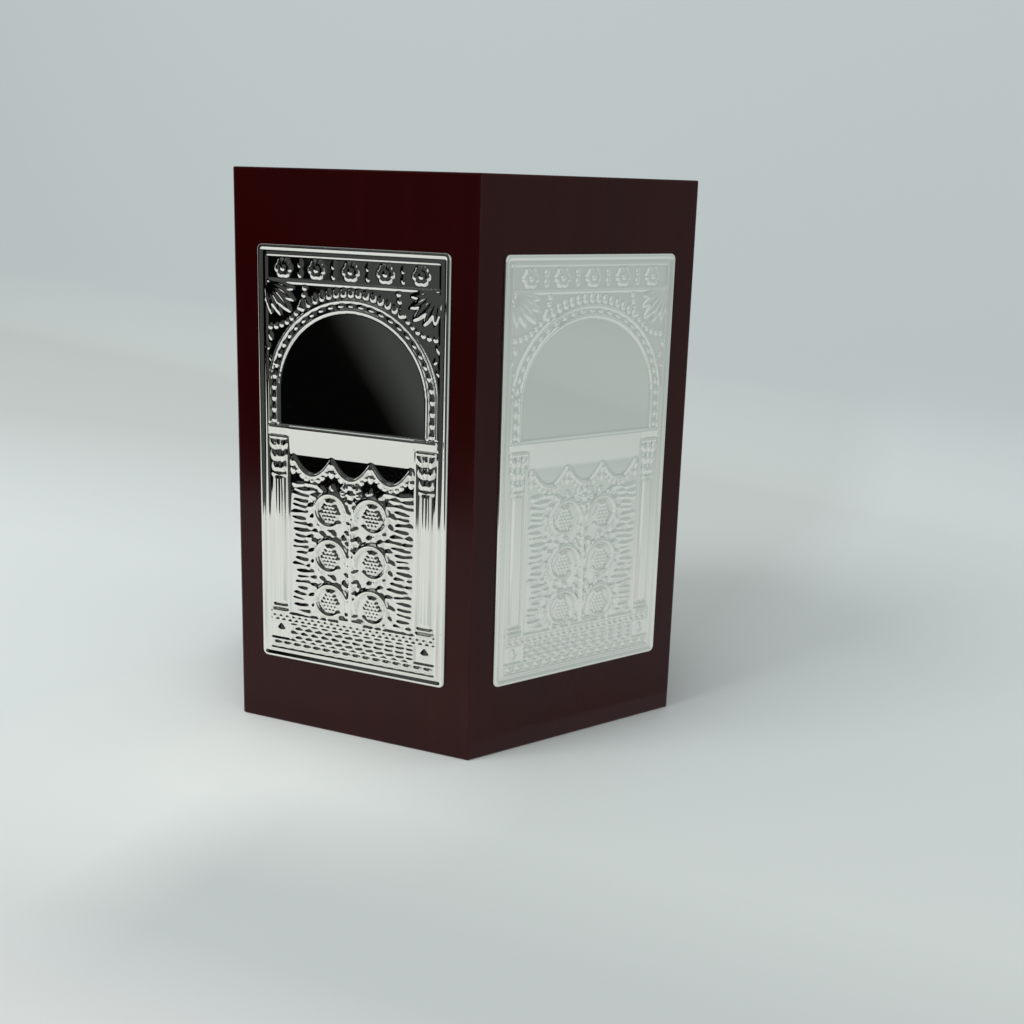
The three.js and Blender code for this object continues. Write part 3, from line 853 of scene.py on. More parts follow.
def leafMotif(name, look):
    shape = bmesh.new()
    rows = []
    last = len(look["widths"]) - 1
    for index, half in enumerate(look["widths"]):
        crown = math.sqrt(2 * half) if 0 < index < last else look["tip"]
        side, hem, vein = look["ridge"], look["hem"], crown * look["vein"]
        section = ((-1, hem), (-side, crown), (0, vein), (side, crown), (1, hem))
        rows.append([shape.verts.new((index / last, half * share, z)) for share, z in section])
    for rowNow, after in zip(rows, rows[1:]):
        for index in range(4):
            shape.faces.new((rowNow[index], rowNow[index + 1], after[index + 1], after[index]))
    return fromShape(name, shape)


bead = ball("beadMotif", 2)
lozenge = lozengeMotif()
leaf = leafMotif("leafMotif", leafLook)
petalLeaf = leafMotif("petalMotif", petalLook)
motifs = [bead, lozenge, leaf, petalLeaf]

# the plaque's layout, in millimetres from the middle of its lower edge
plaque = {
    "width": (plaqueHigh.x - plaqueLow.x) / mm,
    "height": (plaqueHigh.z - plaqueLow.z) / mm,
    "corner": 1.4,
    "cornerRows": 8,
    "cell": 0.235,           # the pressed sheet's mesh
    "proud": 0.35,           # how far its field stands off the wall
    "glue": 0.02,            # between its back and the wall
    "sharp": 60,             # degrees between faces where the shading breaks
    "fillet": 2.25,          # from the outline in
    "friezeHigh": 97.5,
    "friezeLow": 91.7,
    "springLevel": 66.3,
    "archRadius": 22.0,
    "impostHigh": 58.4,
    "impostLow": 55.9,
    "sillLow": 51.6,
    "crownLevel": 43.4,
    "plinthTop": 11.5,
    "columnPlace": 19.7,
}


relief = []                  # what has been carved so far
lengths = ("spacing", "length", "width", "height", "reach", "petalWidth")


def shaped(lines, tree, sizes):
    inMetres = {key: value * mm if key in lengths else value for key, value in sizes.items()}
    relief.append(runTree(lines, tree, finish=silver, **inMetres))


def carve(name, paths, tree, closed=False, **sizes):
    shaped(drawn(name, paths, closed), tree, sizes)


def setDown(name, points, **sizes):
    shaped(dotted(name, points), rosette if "petal" in sizes else spot, sizes)


def fieldHalf(clear):  # half the field inside the fillet, less a clearance
    return plaque["width"] / 2 - plaque["fillet"] - clear


# a raised rim, and a fillet inside it
border = {
    "rim": {"width": 1.15, "height": 0.36},
    "filletCorner": 2.6,
    "fillet": {"width": 0.55, "height": 0.24},
}


def carveBorder(look):
    rim = roundedFrame(look["rim"]["width"] / 2, plaque["corner"])
    carve("rim", [rim], moulding, True, **look["rim"])
    fillet = roundedFrame(plaque["fillet"], look["filletCorner"])
    carve("fillet", [fillet], moulding, True, **look["fillet"])


# a row of flowers with darts between them, over a rail
frieze = {
    "clear": 0.4,
    "lift": 0.15,            # of the row, over the frieze's middle
    "flowers": 5,
    "flower": {"petals": 6, "reach": 2.3, "petalWidth": 2.0, "height": 0.55},
    "dart": {"length": 2.2, "width": 1.3, "height": 0.34},
    "rail": {"width": 0.7, "height": 0.36},
}


def carveFrieze(look):
    half, low = fieldHalf(look["clear"]), plaque["friezeLow"]
    v = (low + plaque["friezeHigh"]) / 2 + look["lift"]
    step = 2 * half / look["flowers"]
    places = [-half + step * (index + 0.5) for index in range(look["flowers"])]
    between = [(left + right) / 2 for left, right in zip(places, places[1:])]
    flowers = [(u, v, 1.0, 0) for u in places]
    darts = [(u, v, 1.0, angle) for u in between for angle in (90, 270)]
    setDown("friezeFlowers", flowers, petal=petalLeaf, boss=bead, **look["flower"])
    setDown("friezeDarts", darts, motif=leaf, **look["dart"])
    carve("friezeRail", [level(low, half)], moulding, **look["rail"])


# two rolls with a row of lozenges between them, and a crest of leaves over the crown
arch = {
    "inner": 19.8,
    "steps": 96,
    "roll": {"width": 0.72, "height": 0.46},
    "channel": 20.9,         # radius of the row
    "rowFoot": 1.0,          # the row's ends, over the impost
    "lozenge": {"spacing": 2.6, "length": 2.3, "width": 1.3, "height": 0.5},
    "crestGap": 0.5,         # outside the outer roll's middle
    "crestSpread": 33,       # degrees to each side of the crown
    "crestSteps": 48,
    "crest": {"spacing": 1.75, "length": 2.5, "width": 1.7, "height": 0.52},
}


def archLine(look, radius, foot):
    spring = plaque["springLevel"]
    halfway = (foot + spring) / 2
    right = [(radius, foot, 1.0), (radius, halfway, 1.0)]
    left = [(-radius, halfway, 1.0), (-radius, foot, 1.0)]
    return right + arc(0, spring, radius, 0, 180, look["steps"]) + left


def carveArch(look):
    foot, radius = plaque["impostHigh"], plaque["archRadius"]
    rolls = [archLine(look, radius, foot), archLine(look, look["inner"], foot)]
    channel = archLine(look, look["channel"], foot + look["rowFoot"])
    carve("archRolls", rolls, moulding, **look["roll"])
    carve("archLozenges", [channel], row, motif=lozenge, **look["lozenge"])
    spread, reach = look["crestSpread"], radius + look["crestGap"]
    crest = arc(0, plaque["springLevel"], reach, 90 - spread, 90 + spread, look["crestSteps"])
    outward = -math.pi / 2
    carve("crestLeaves", [crest], row, turn=outward, motif=leaf, **look["crest"])


# in each upper corner a fan of leaves edged with beads, and a trail of leaves below it
spandrel = {
    "clear": 0.6,
    "fanHalf": 2,            # leaves to each side of the middle one
    "fanTurn": 19,           # degrees from leaf to leaf
    "fanFade": 0.1,          # how much shorter each is than the last
    "fan": {"length": 9.0, "width": 3.1, "height": 0.6},
    "edgeRadius": 9.9,
    "edgeSpread": 42,
    "edgeSteps": 24,
    "edge": {"spacing": 1.5, "length": 1.1, "width": 1.1, "height": 0.42},
    "trailInset": 0.2,
    "trailEnds": (11.0, 19.5),
    "trailTip": 0.45,
    "trail": {
        "spacing": 2.2, "length": 2.4, "width": 1.1, "height": 0.32,
        "splay": 0.35,
    },
}


def carveSpandrels(look):
    corner = fieldHalf(look["clear"])
    top, half, spread = plaque["friezeLow"] - look["clear"], look["fanHalf"], look["edgeSpread"]
    for side in (-1, 1):
        inward = 225 if side > 0 else 315
        fan = [
            (side * corner, top, 1.0 - look["fanFade"] * abs(step), inward + look["fanTurn"] * step)
            for step in range(-half, half + 1)
        ]
        setDown("fan", fan, motif=leaf, **look["fan"])
        edge = arc(
            side * corner, top, look["edgeRadius"], inward - spread, inward + spread,
            look["edgeSteps"],
        )
        carve("fanBeads", [edge], row, motif=bead, **look["edge"])
        u = side * (corner - look["trailInset"])
        first, last = look["trailEnds"]
        trail = [(u, top - first, 1.0), (u, top - last, look["trailTip"])]
        carve("trail", [trail], row, motif=leaf, **look["trail"])


# a plain band under the arch, a sloped sill below it, and beaded swags hung from the sill
impost = {
    "clear": 0.4,
    "headroom": 0.3,         # between the band and the arch's feet
    "bandHeights": (0.36, 0.74),    # at its foot and at its top
    "sillHeights": (0.01, 0.78),
    "sillHalf": 16.7,
    "swags": 3,
    "swagInset": 0.9,
    "swagDrop": 0.4,         # under the sill
    "swagSag": 4.5,
    "swagSizes": (0.7, 0.45),    # at its ends, and what its middle adds
    "swagSteps": 32,
    "swag": {"width": 0.9, "height": 0.58},
    "fringeDrop": 1.0,       # under the swag
    "fringeBare": 5,         # steps at each end
    "fringe": {"spacing": 1.25, "length": 0.85, "width": 0.85, "height": 0.45},
    "tipDrop": 2.7,          # of each tassel's second leaf
    "tipSize": 0.7,
    "tassel": {"length": 2.7, "width": 1.35, "height": 0.6},
}


def slopedSill(half, low, high, heights):
    corners = ((low, heights[0]), (high, heights[1]), (high, 0.0), (low, 0.0))
    return skinned("sill", [[(u * mm, v * mm, z * mm) for v, z in corners] for u in (-half, half)])


def swagLine(look, left, width, top):
    thin, swell = look["swagSizes"]
    line = []
    for step in range(look["swagSteps"] + 1):
        share = step / look["swagSteps"]
        sag = 4 * share * (1 - share)
        line.append((left + width * share, top - look["swagSag"] * sag, thin + swell * sag))
    return line


def carveImpost(look):
    half, foot = look["sillHalf"], plaque["sillLow"]
    low, high = plaque["impostLow"], plaque["impostHigh"] - look["headroom"]
    relief.append(slopedSill(half, foot, high, look["sillHeights"]))
    relief.append(slopedSill(fieldHalf(look["clear"]), low, high, look["bandHeights"]))
    left, top = look["swagInset"] - half, foot - look["swagDrop"]
    width, bare = -2 * left / look["swags"], look["fringeBare"]
    swags = [swagLine(look, left + width * index, width, top) for index in range(look["swags"])]
    fringes = [
        [(u, v - look["fringeDrop"], size) for u, v, size in line[bare:-bare]] for line in swags
    ]
    tassels = []
    for index in range(look["swags"] + 1):
        u = left + width * index
        tassels += [(u, top, 1.0, -90), (u, foot - look["tipDrop"], look["tipSize"], -90)]
    carve("swags", swags, moulding, **look["swag"])
    carve("swagBeads", fringes, row, motif=bead, **look["fringe"])
    setDown("drops", tassels, motif=leaf, **look["tassel"])


# reeded columns, with three tiers of leaves in each capital
column = {
    "capital": 9.6,
    "shaft": {"width": 3.0, "height": 0.42},
    "shaftFoot": 2.6,        # over the plinth
    "bulge": (14, 1.06),     # where over the plinth, and the shaft's size there
    "neckSize": 0.88,
    "reed": {"width": 0.85, "height": 0.6},
    "reedFoot": (3.2, 0.92, 1.0),    # how far off the end, how far apart, size
    "reedNeck": (0.6, 0.82, 0.9),
    "ring": {"width": 1.0, "height": 0.62},
    "baseRings": ((0.7, 2.2, 1.0), (1.9, 1.8, 0.8)),    # how high, half width, size
    "neckRing": (1.6, 0.7),
    "abacus": (0.6, 2.4, 0.9),
    "tiers": 3,
    "tierFoot": 0.2,
    "tierRoom": 1.4,         # left over the highest tier's foot
    "leafApart": (0.75, 0.1),    # in the lowest tier, and what each tier adds
    "leafSize": (0.9, 0.08),
    "leafLean": (12, 5),
    "leaf": {"length": 3.6, "width": 1.5, "height": 0.6},
}


def capitalLeaves(look, u, neck):
    leaves = []
    for tier in range(look["tiers"]):
        foot = neck + look["tierFoot"] + tier * (look["capital"] - look["tierRoom"]) / look["tiers"]
        apart, size, lean = (
            look[key][0] + look[key][1] * tier for key in ("leafApart", "leafSize", "leafLean")
        )
        leaves += [(u + apart * step, foot, size, 90 - lean * step) for step in (-1, 0, 1)]
    return leaves


def carveColumns(look):
    low, high = plaque["plinthTop"], plaque["impostLow"]
    neck = high - look["capital"]
    bulge, bulgeSize = look["bulge"]
    footRise, footApart, footSize = look["reedFoot"]
    neckFall, neckApart, neckSize = look["reedNeck"]
    fall, half, size = look["abacus"]
    for side in (-1, 1):
        u = side * plaque["columnPlace"]
        shaft = [
            (u, low + look["shaftFoot"], 1.0), (u, low + bulge, bulgeSize), (u, neck, look["neckSize"])
        ]
        carve("shaft", [shaft], moulding, **look["shaft"])
        reeds = [
            [(u + footApart * step, low + footRise, footSize),
             (u + neckApart * step, neck - neckFall, neckSize)]
            for step in (-1, 0, 1)
        ]
        carve("reeds", reeds, moulding, **look["reed"])
        rings = [level(low + rise, wide, thick, u) for rise, wide, thick in look["baseRings"]]
        rings += [level(neck, *look["neckRing"], u), level(high - fall, half, size, u)]
        carve("columnRings", rings, moulding, **look["ring"])
        leaves = capitalLeaves(look, u, neck)
        setDown("capitalLeaves", leaves, motif=leaf, **look["leaf"])


# courses of rounded bricks between two pedestals, with beads over them and dentils below
plinth = {
    "clear": 0.5,
    "band": 1.7,             # of beads, under the top rail
    "bandFoot": 0.85,        # from there to the first course
    "courses": 4,
    "pitch": 1.12,
    "footRail": 0.8,         # under the last course
    "rail": {"width": 0.55, "height": 0.34},
    "beadInset": 0.8,
    "bead": {"spacing": 1.75, "length": 1.35, "width": 1.25, "height": 0.5},
    "pedestal": 16.9,        # where the courses end
    "pedestalEdge": {"width": 0.5, "height": 0.3},
    "nailhead": {"length": 3.6, "width": 2.9, "height": 0.62},
    "brickInset": 0.9,
    "brickLength": 2.7,
    "brickJoint": 0.15,
    "brick": {"width": 0.95, "height": 0.44},
    "dentilDrop": 1.85,      # under the last course
    "dentilInset": 1.6,
    "dentil": {"spacing": 2.7, "length": 2.35, "width": 1.5, "height": 0.66},
}


def carvePlinth(look):
    half, side = fieldHalf(look["clear"]), look["pedestal"]
    top = plaque["plinthTop"]
    bandLow = top - look["band"]
    first = bandLow - look["bandFoot"]
    last = first - (look["courses"] - 1) * look["pitch"]
    foot = last - look["footRail"]
    carve("plinthRails", [level(v, half) for v in (top, bandLow, foot)], moulding, **look["rail"])
    beads = level(top - look["band"] / 2, half - look["beadInset"])
    carve("plinthBeads", [beads], row, motif=bead, **look["bead"])
    edges = [[(u, bandLow, 1.0), (u, foot, 1.0)] for u in (-side, side)]
    carve("pedestals", edges, moulding, **look["pedestalEdge"])
    nailheads = [(way * plaque["columnPlace"], (bandLow + foot) / 2, 1.0, 90) for way in (-1, 1)]
    setDown("nailheads", nailheads, motif=lozenge, **look["nailhead"])
    courses = []
    for course in range(look["courses"]):
        v, inset, length = first - course * look["pitch"], look["brickInset"], look["brickLength"]
        shift = length / 2 * (course % 2)
        courses.append([(inset + shift - side, v, 1.0), (side - inset, v, 1.0)])
    long = look["brickLength"] - look["brickJoint"]
    sizes = {"spacing": look["brickLength"], "length": long, **look["brick"]}
    carve("bricks", courses, row, motif=bead, **sizes)
    dentils = level(last - look["dentilDrop"], half - look["dentilInset"])
    carve("plinthDentils", [dentils], row, motif=bead, **look["dentil"])


# a tree growing from an urn, with a berry cluster in each of its scrolls
vine = {
    "stem": {"width": 1.3, "height": 0.5},
    "stemFoot": (0.6, 1.3),      # over the plinth, and size
    "stemMiddle": (20, 1.0),
    "stemTop": (1, 0.7),         # under the crown
    "stemLeaves": ((3.2, 1.0), (2.6, 0.8)),    # the same for both ends of their row
    "stemLeaf": {
        "spacing": 1.3, "length": 2.5, "width": 1.1, "height": 0.62,
        "splay": 0.95,
    },
    "urn": {"width": 1.2, "height": 0.6},
    "urnRings": ((0.9, 3.4, 1.0), (2.1, 1.7, 0.85)),    # how high, half width, size
    "tiers": 3,
    "tierPitch": 11.1,
    "tierCentre": 0.44,          # share of a tier below its scrolls' middles
    "scroll": {"width": 1.25, "height": 0.62},
    "scrollCentre": 5.75,
    "scrollRadius": 4.9,
    "scrollStart": 1.12,         # half turns
    "scrollTurns": 0.94,
    "scrollTaper": 0.34,
    "scrollSteps": 60,
    "scrollSizes": (1.1, 0.35),  # at its start, and what its end loses
    "scrollBud": (0.45, 9),      # how thin it leaves the stem, and how fast it swells
    "scrollLeaves": 9,
    "leafSpan": (0.10, 0.72),    # where on the scroll the first is, and how far the last
    "leafOut": 0.3,
    "leafTurn": -40,
    "leafFade": 0.3,
    "leaf": {"length": 2.8, "width": 1.5, "height": 0.52},
    "crown": {"petals": 8, "reach": 3.1, "petalWidth": 1.9, "height": 0.6},
    "clusterHalf": 2,            # rows of berries over and under the middle one
    "berryPitch": 0.97,
    "berryRows": 0.87,           # a row's height, as a share of the pitch
    "berryDrop": 0.35,
    "berry": {"length": 1.0, "width": 1.0, "height": 0.56},
    "tuftRise": 1.5,
    "tuftTurn": 40,
    "tuft": {"length": 2.0, "width": 0.95, "height": 0.5},
}


def scrollPoint(look, side, tierLevel, share, grow=0.0):
    angle = look["scrollStart"] * math.pi - share * look["scrollTurns"] * 2 * math.pi
    radius = look["scrollRadius"] * (1 - look["scrollTaper"] * share) + grow
    u = side * (look["scrollCentre"] + radius * math.cos(angle))
    return u, tierLevel + radius * math.sin(angle)


def scrollLine(look, side, tierLevel):
    start, loss = look["scrollSizes"]
    thin, swell = look["scrollBud"]
    line = []
    for step in range(look["scrollSteps"] + 1):
        share = step / look["scrollSteps"]
        size = min(thin + swell * share, start - loss * share)
        line.append((*scrollPoint(look, side, tierLevel, share), size))
    return line


def scrollLeaves(look, side, tierLevel):  # along the outside of a scroll
    leaves = []
    first, span = look["leafSpan"]
    for step in range(look["scrollLeaves"]):
        share = first + span * step / (look["scrollLeaves"] - 1)
        u, v = scrollPoint(look, side, tierLevel, share, look["leafOut"])
        heading = look["scrollStart"] * 180 - share * look["scrollTurns"] * 360 + look["leafTurn"]
        angle = heading if side > 0 else 180 - heading
        leaves.append((u, v, 1.0 - look["leafFade"] * share, angle))
    return leaves


def tierLevels(look):
    pitch = look["tierPitch"]
    return [plaque["plinthTop"] + (tier + look["tierCentre"]) * pitch for tier in range(look["tiers"])]


def cluster(look, u, v):  # a close hexagon of berries
    pitch, half = look["berryPitch"], look["clusterHalf"]
    places = []
    for line in range(-half, half + 1):
        wide = 2 * half + 1 - abs(line)
        for step in range(wide):
            across = (step - (wide - 1) / 2) * pitch
            places.append((u + across, v + line * pitch * look["berryRows"], 1.0, 0))
    return places


def carveVine(look):
    foot, crown = plaque["plinthTop"], plaque["crownLevel"]
    rise, size = look["stemFoot"]
    up, middleSize = look["stemMiddle"]
    fall, topSize = look["stemTop"]
    stem = [(0, foot + rise, size), (0, foot + up, middleSize), (0, crown - fall, topSize)]
    carve("stem", [stem], moulding, **look["stem"])
    (rise, size), (fall, topSize) = look["stemLeaves"]
    leafRow = [(0, foot + rise, size), (0, crown - fall, topSize)]
    carve("stemLeaves", [leafRow], row, motif=leaf, **look["stemLeaf"])
    urn = [level(foot + high, half, thick) for high, half, thick in look["urnRings"]]
    carve("urn", urn, moulding, **look["urn"])
    scrolls, leaves, berries, tufts = [], [], [], []
    for tierLevel in tierLevels(look):
        for side in (-1, 1):
            u = side * look["scrollCentre"]
            scrolls.append(scrollLine(look, side, tierLevel))
            leaves += scrollLeaves(look, side, tierLevel)
            berries += cluster(look, u, tierLevel - look["berryDrop"])
            tuft = tierLevel + look["tuftRise"]
            tufts += [(u, tuft, 1.0, 90 + look["tuftTurn"] * step) for step in (-1, 0, 1)]
    carve("scrolls", scrolls, moulding, **look["scroll"])
    setDown("scrollLeaves", leaves, motif=leaf, **look["leaf"])
    setDown("crown", [(0, crown, 1.0, 0)], petal=petalLeaf, boss=bead, **look["crown"])
    setDown("berries", berries, motif=bead, **look["berry"])
    setDown("tufts", tufts, motif=leaf, **look["tuft"])


# broken, slightly wavy courses behind the tree, between two thin jambs
ground = {
    "foot": 1.3,             # over the plinth
    "head": 7.0,             # under the sill
    "half": 16.2,
    "pitch": 1.42,
    "start": 1.5,            # how late a course may begin
    "stroke": (2.6, 6.2),    # shortest and longest
    "least": 1.2,            # no stroke begins nearer to the end of its course
    "gap": 0.35,
    "step": 0.35,
    "wave": 0.2,
    "waveRate": 0.9,         # radians a millimetre
    "phases": 6,
    "thin": 0.45,            # size at a stroke's ends
    "stem": 3.0,             # how far it keeps from the tree
    "scroll": 1.5,
    "crown": 3.6,
    "line": {"width": 1.18, "height": 0.28},
    "jambPlace": 17.2,
    "jamb": {"width": 0.6, "height": 0.3},
    "seed": 11,
}


def clearOfTree(look, u, v):
    reach = vine["scrollRadius"] + look["scroll"]
    scroll = min(
        math.hypot(abs(u) - vine["scrollCentre"], v - tierLevel) - reach
        for tierLevel in tierLevels(vine)
    )
    crown = math.hypot(u, v - plaque["crownLevel"]) - look["crown"]
    return min(scroll, crown, abs(u) - look["stem"]) >= 0


def brokenLine(look, v, phase, start, end):  # as far as the tree lets it run
    steps = max(4, round((end - start) / look["step"]))
    line = []
    for step in range(steps + 1):
        share = step / steps
        x = start + (end - start) * share
        y = v + look["wave"] * math.sin(look["waveRate"] * x + phase)
        if not clearOfTree(look, x, y):
            break
        swell = min(1.0, 4 * share, 4 * (1 - share))
        line.append((x, y, look["thin"] + (1 - look["thin"]) * swell))
    return line


def carveGround(look):
    chance = random.Random(look["seed"])
    low, high = plaque["plinthTop"] + look["foot"], plaque["sillLow"] - look["head"]
    half = look["half"]
    courses = round((high - low) / look["pitch"])
    strokes = []
    for course in range(courses + 1):
        v, phase = low + (high - low) * course / courses, chance.uniform(0, look["phases"])
        u = -half + chance.uniform(0, look["start"])
        while u < half - look["least"]:
            end = min(u + chance.uniform(*look["stroke"]), half)
            line = brokenLine(look, v, phase, u, end)
            if len(line) > 3:
                strokes.append(line)
                u = line[-1][0]
            u += look["gap"]
    carve("ground", strokes, moulding, **look["line"])
    jambs = [
        [(side * look["jambPlace"], plaque[key], 1.0) for key in ("plinthTop", "impostLow")]
        for side in (-1, 1)
    ]
    carve("jambs", jambs, moulding, **look["jamb"])


def carveDie():
    carveBorder(border)
    carveFrieze(frieze)
    carveArch(arch)
    carveSpandrels(spandrel)
    carveImpost(impost)
    carveColumns(column)
    carvePlinth(plinth)
    carveVine(vine)
    carveGround(ground)
    shape = bmesh.new()
    for piece in relief:
        shape.from_mesh(piece.data)
        bpy.data.objects.remove(piece)
    mesh = bpy.data.meshes.new("die")
    shape.to_mesh(mesh)
    shape.free()
    return linked("die", mesh)


def blankSheet(look):  # a fine grid in the plaque's rounded outline
    half, height, corner, cell = look["width"] / 2, look["height"], look["corner"], look["cell"]
    columns, bendRows = round(2 * half / cell), look["cornerRows"]
    straight = round((height - 2 * corner) / cell)
    bends = [corner * (1 - math.cos(math.pi / 2 * step / bendRows)) for step in range(bendRows)]
    middle = [corner + (height - 2 * corner) * step / straight for step in range(straight + 1)]
    levels = bends + middle + [height - v for v in reversed(bends)]
    points, faces = [], []
    for v in levels:
        fromEnd = min(v, height - v)
        cut = 0.0
        if fromEnd < corner:
            cut = corner - math.sqrt(corner ** 2 - (corner - fromEnd) ** 2)
        for step in range(columns + 1):
            u = (half - cut) * (2 * step / columns - 1)
            points.append((u * mm, v * mm, 0))
    wide = columns + 1
    for line in range(len(levels) - 1):
        for step in range(columns):
            start = line * wide + step
            faces.append((start, start + 1, start + wide + 1, start + wide))
    mesh = bpy.data.meshes.new("sheet")
    mesh.from_pydata(points, [], faces)
    return linked("sheet", mesh)


def backed(piece, depth):  # closes the pressed sheet down to the wall
    shape = bmesh.new()
    shape.from_mesh(piece.data)
    rim = [edge for edge in shape.edges if edge.is_boundary]
    made = bmesh.ops.extrude_edge_only(shape, edges=rim)["geom"]
    foot = [item for item in made if isinstance(item, bmesh.types.BMVert)]
    for vertex in foot:
        vertex.co.z = -depth
    edges = [item for item in made if isinstance(item, bmesh.types.BMEdge)]
    bmesh.ops.edgenet_fill(shape, edges=[edge for edge in edges if edge.is_boundary])
    bmesh.ops.recalc_face_normals(shape, faces=shape.faces)
    shape.to_mesh(piece.data)
    shape.free()


die = carveDie()
print("die ready", len(die.data.polygons))
sheet = blankSheet(plaque)
runTree(sheet, press, die=die, finish=silver)
backed(sheet, plaque["proud"] * mm)
sheet.data.shade_smooth()
sheet.data.set_sharp_from_angle(angle=math.radians(plaque["sharp"]))
foot = Vector((0, -(apothem + (plaque["proud"] + plaque["glue"]) * mm), plaqueLow.z))
upright = Matrix.Translation(foot) @ Matrix.Rotation(math.pi / 2, 4, "X")
for number in range(sides):
    copy = linked(f"silverPlaque{number + 1}", sheet.data.copy())
    copy.data.transform(Matrix.Rotation(turn * number, 4, "Z") @ upright)
    settle(copy, "case", "silver_plate", f"plaque_{number + 1}")
for spare in motifs + [die, sheet]:
    bpy.data.objects.remove(spare)
print("plaques ready")


def turned(name, profile, finish, segments=48):  # (radius, z) from pole to pole
    shape = bmesh.new()
    rows = []
    for radius, z in profile:
        count = segments if radius > 0 else 1
        angles = [2 * math.pi * step / segments for step in range(count)]
        rows.append([shape.verts.new((radius * math.cos(a), radius * math.sin(a), z)) for a in angles])
    for row, after in zip(rows, rows[1:]):
        for index in range(segments):
            pair = (index, (index + 1) % segments)
            corners = [row[i % len(row)] for i in pair] + [after[i % len(after)] for i in pair[::-1]]
            shape.faces.new(list(dict.fromkeys(corners)))
    return fromShape(name, shape, finish)


def moved(piece, matrix):
    piece.data.transform(matrix)
    return piece


def middleOf(node):
    low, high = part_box(node)
    return (low + high) / 2


# butt hinge: two plates with curled knuckles on a riveted pin
pinLow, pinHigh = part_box("hinge_pin")
leafLow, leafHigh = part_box("hinge_leaf_fixed")
hinge = {
    "knuckles": 5,
    "gap": 0.3 * mm,
    "thick": 0.8 * mm,
    "corner": 1.5 * mm,
    "cornerSteps": 6,
    "edge": 0.12 * mm,       # broken edges
    "curlEnd": 385,          # degrees round from the plate
    "curlSteps": 36,
    "curlGap": 0.08 * mm,    # round the pin
    "tail": 0.8 * mm,        # of the curl, run into the plate
    "pinRadius": 0.8 * mm,
    "pinHead": 0.6 * mm,
    "pinEase": 0.35 * mm,
    "pinSteps": 5,
}
hingeY = (pinLow.y + pinHigh.y) / 2
hingeZ = (pinLow.z + pinHigh.z) / 2
barrelRadius = leafHigh.z - hingeZ
leafLength = leafHigh.x - leafLow.x + hinge["gap"]


def knuckleMotif(look, side):  # a strip that leaves the plate and curls round the pin
    inner = look["pinRadius"] + look["curlGap"]
    tail = barrelRadius + look["tail"]
    angles = [
        math.radians(90 + (look["curlEnd"] - 90) * step / look["curlSteps"])
        for step in range(look["curlSteps"] + 1)
    ]
    outline = [(tail, barrelRadius - hair)]
    outline += [(barrelRadius * math.cos(a), barrelRadius * math.sin(a)) for a in angles]
    outline += [(inner * math.cos(a), inner * math.sin(a)) for a in reversed(angles)]
    outline += [(tail, barrelRadius - look["thick"] + hair)]
    half = (leafLength / look["knuckles"] - look["gap"]) / 2
    ends = [[(x, hingeY + side * u, hingeZ + z) for u, z in outline] for x in (-half, half)]
    return bevelled(skinned("knuckleMotif", ends), look["edge"] / 2, 1, 60)


def leafPlate(look, side):
    near = barrelRadius + look["gap"]
    far = (leafHigh.y - hingeY) - look["corner"]
    half = (leafHigh.x - leafLow.x) / 2
    bend = half - look["corner"]
    outline = [(-half, near), (half, near)]
    for x, start in ((bend, 0), (-bend, 90)):
        outline += quarter(x, far, look["corner"], start, look["cornerSteps"])
    shape = bmesh.new()
    face = shape.faces.new([shape.verts.new((x, hingeY + side * u, leafHigh.z)) for x, u in outline])
    grown = bmesh.ops.extrude_face_region(shape, geom=[face])["geom"]
    lower = [item for item in grown if isinstance(item, bmesh.types.BMVert)]
    bmesh.ops.translate(shape, verts=lower, vec=(0, 0, -look["thick"]))
    return bevelled(fromShape("plate", shape, nickel), look["edge"])


# countersunk screws with a cross in the head
woodScrew = {
    "headRadius": 1.9 * mm,
    "headDepth": 0.8 * mm,
    "headEase": 0.1 * mm,
    "headDip": 0.02 * mm,
    "shankRadius": 0.9 * mm,
    "neck": 0.4 * mm,        # from the shank down to the core
    "core": 0.68,            # share of the shank
    "point": 0.9 * mm,
    "segments": 32,
    "threadPitch": 0.62 * mm,
    "threadHalf": 0.16 * mm,
    "threadRoot": 0.9,       # share of the core's radius
    "threadEnd": 0.5 * mm,   # left bare at each end
    "threadSteps": 16,       # in one turn
    "threadEase": (8, 12),   # steps in which it rises and runs out
    "crossArm": 1.15 * mm,
    "crossHalf": 0.26 * mm,
    "crossMouth": (-0.1 * mm, 1.05),    # level, and share of the arm there
    "crossFloor": (0.45 * mm, 0.55),
    "holeGap": 0.1 * mm,
    "holeOver": 1 * mm,
    "holeDepth": 3 * mm,
}


def countersink(look, place, down):
    over, deep = look["holeOver"], look["holeDepth"]
    wide, narrow = look["headRadius"] + look["holeGap"], look["shankRadius"] + look["holeGap"]
    profile = [(0, -over), (wide, -over), (wide, 0), (narrow, look["headDepth"])]
    profile += [(narrow, deep), (0, deep)]
    cutter = turned("countersink", profile, nickel, look["segments"])
    if down:
        moved(cutter, Matrix.Rotation(math.pi, 4, "X"))
    return moved(cutter, Matrix.Translation(place))


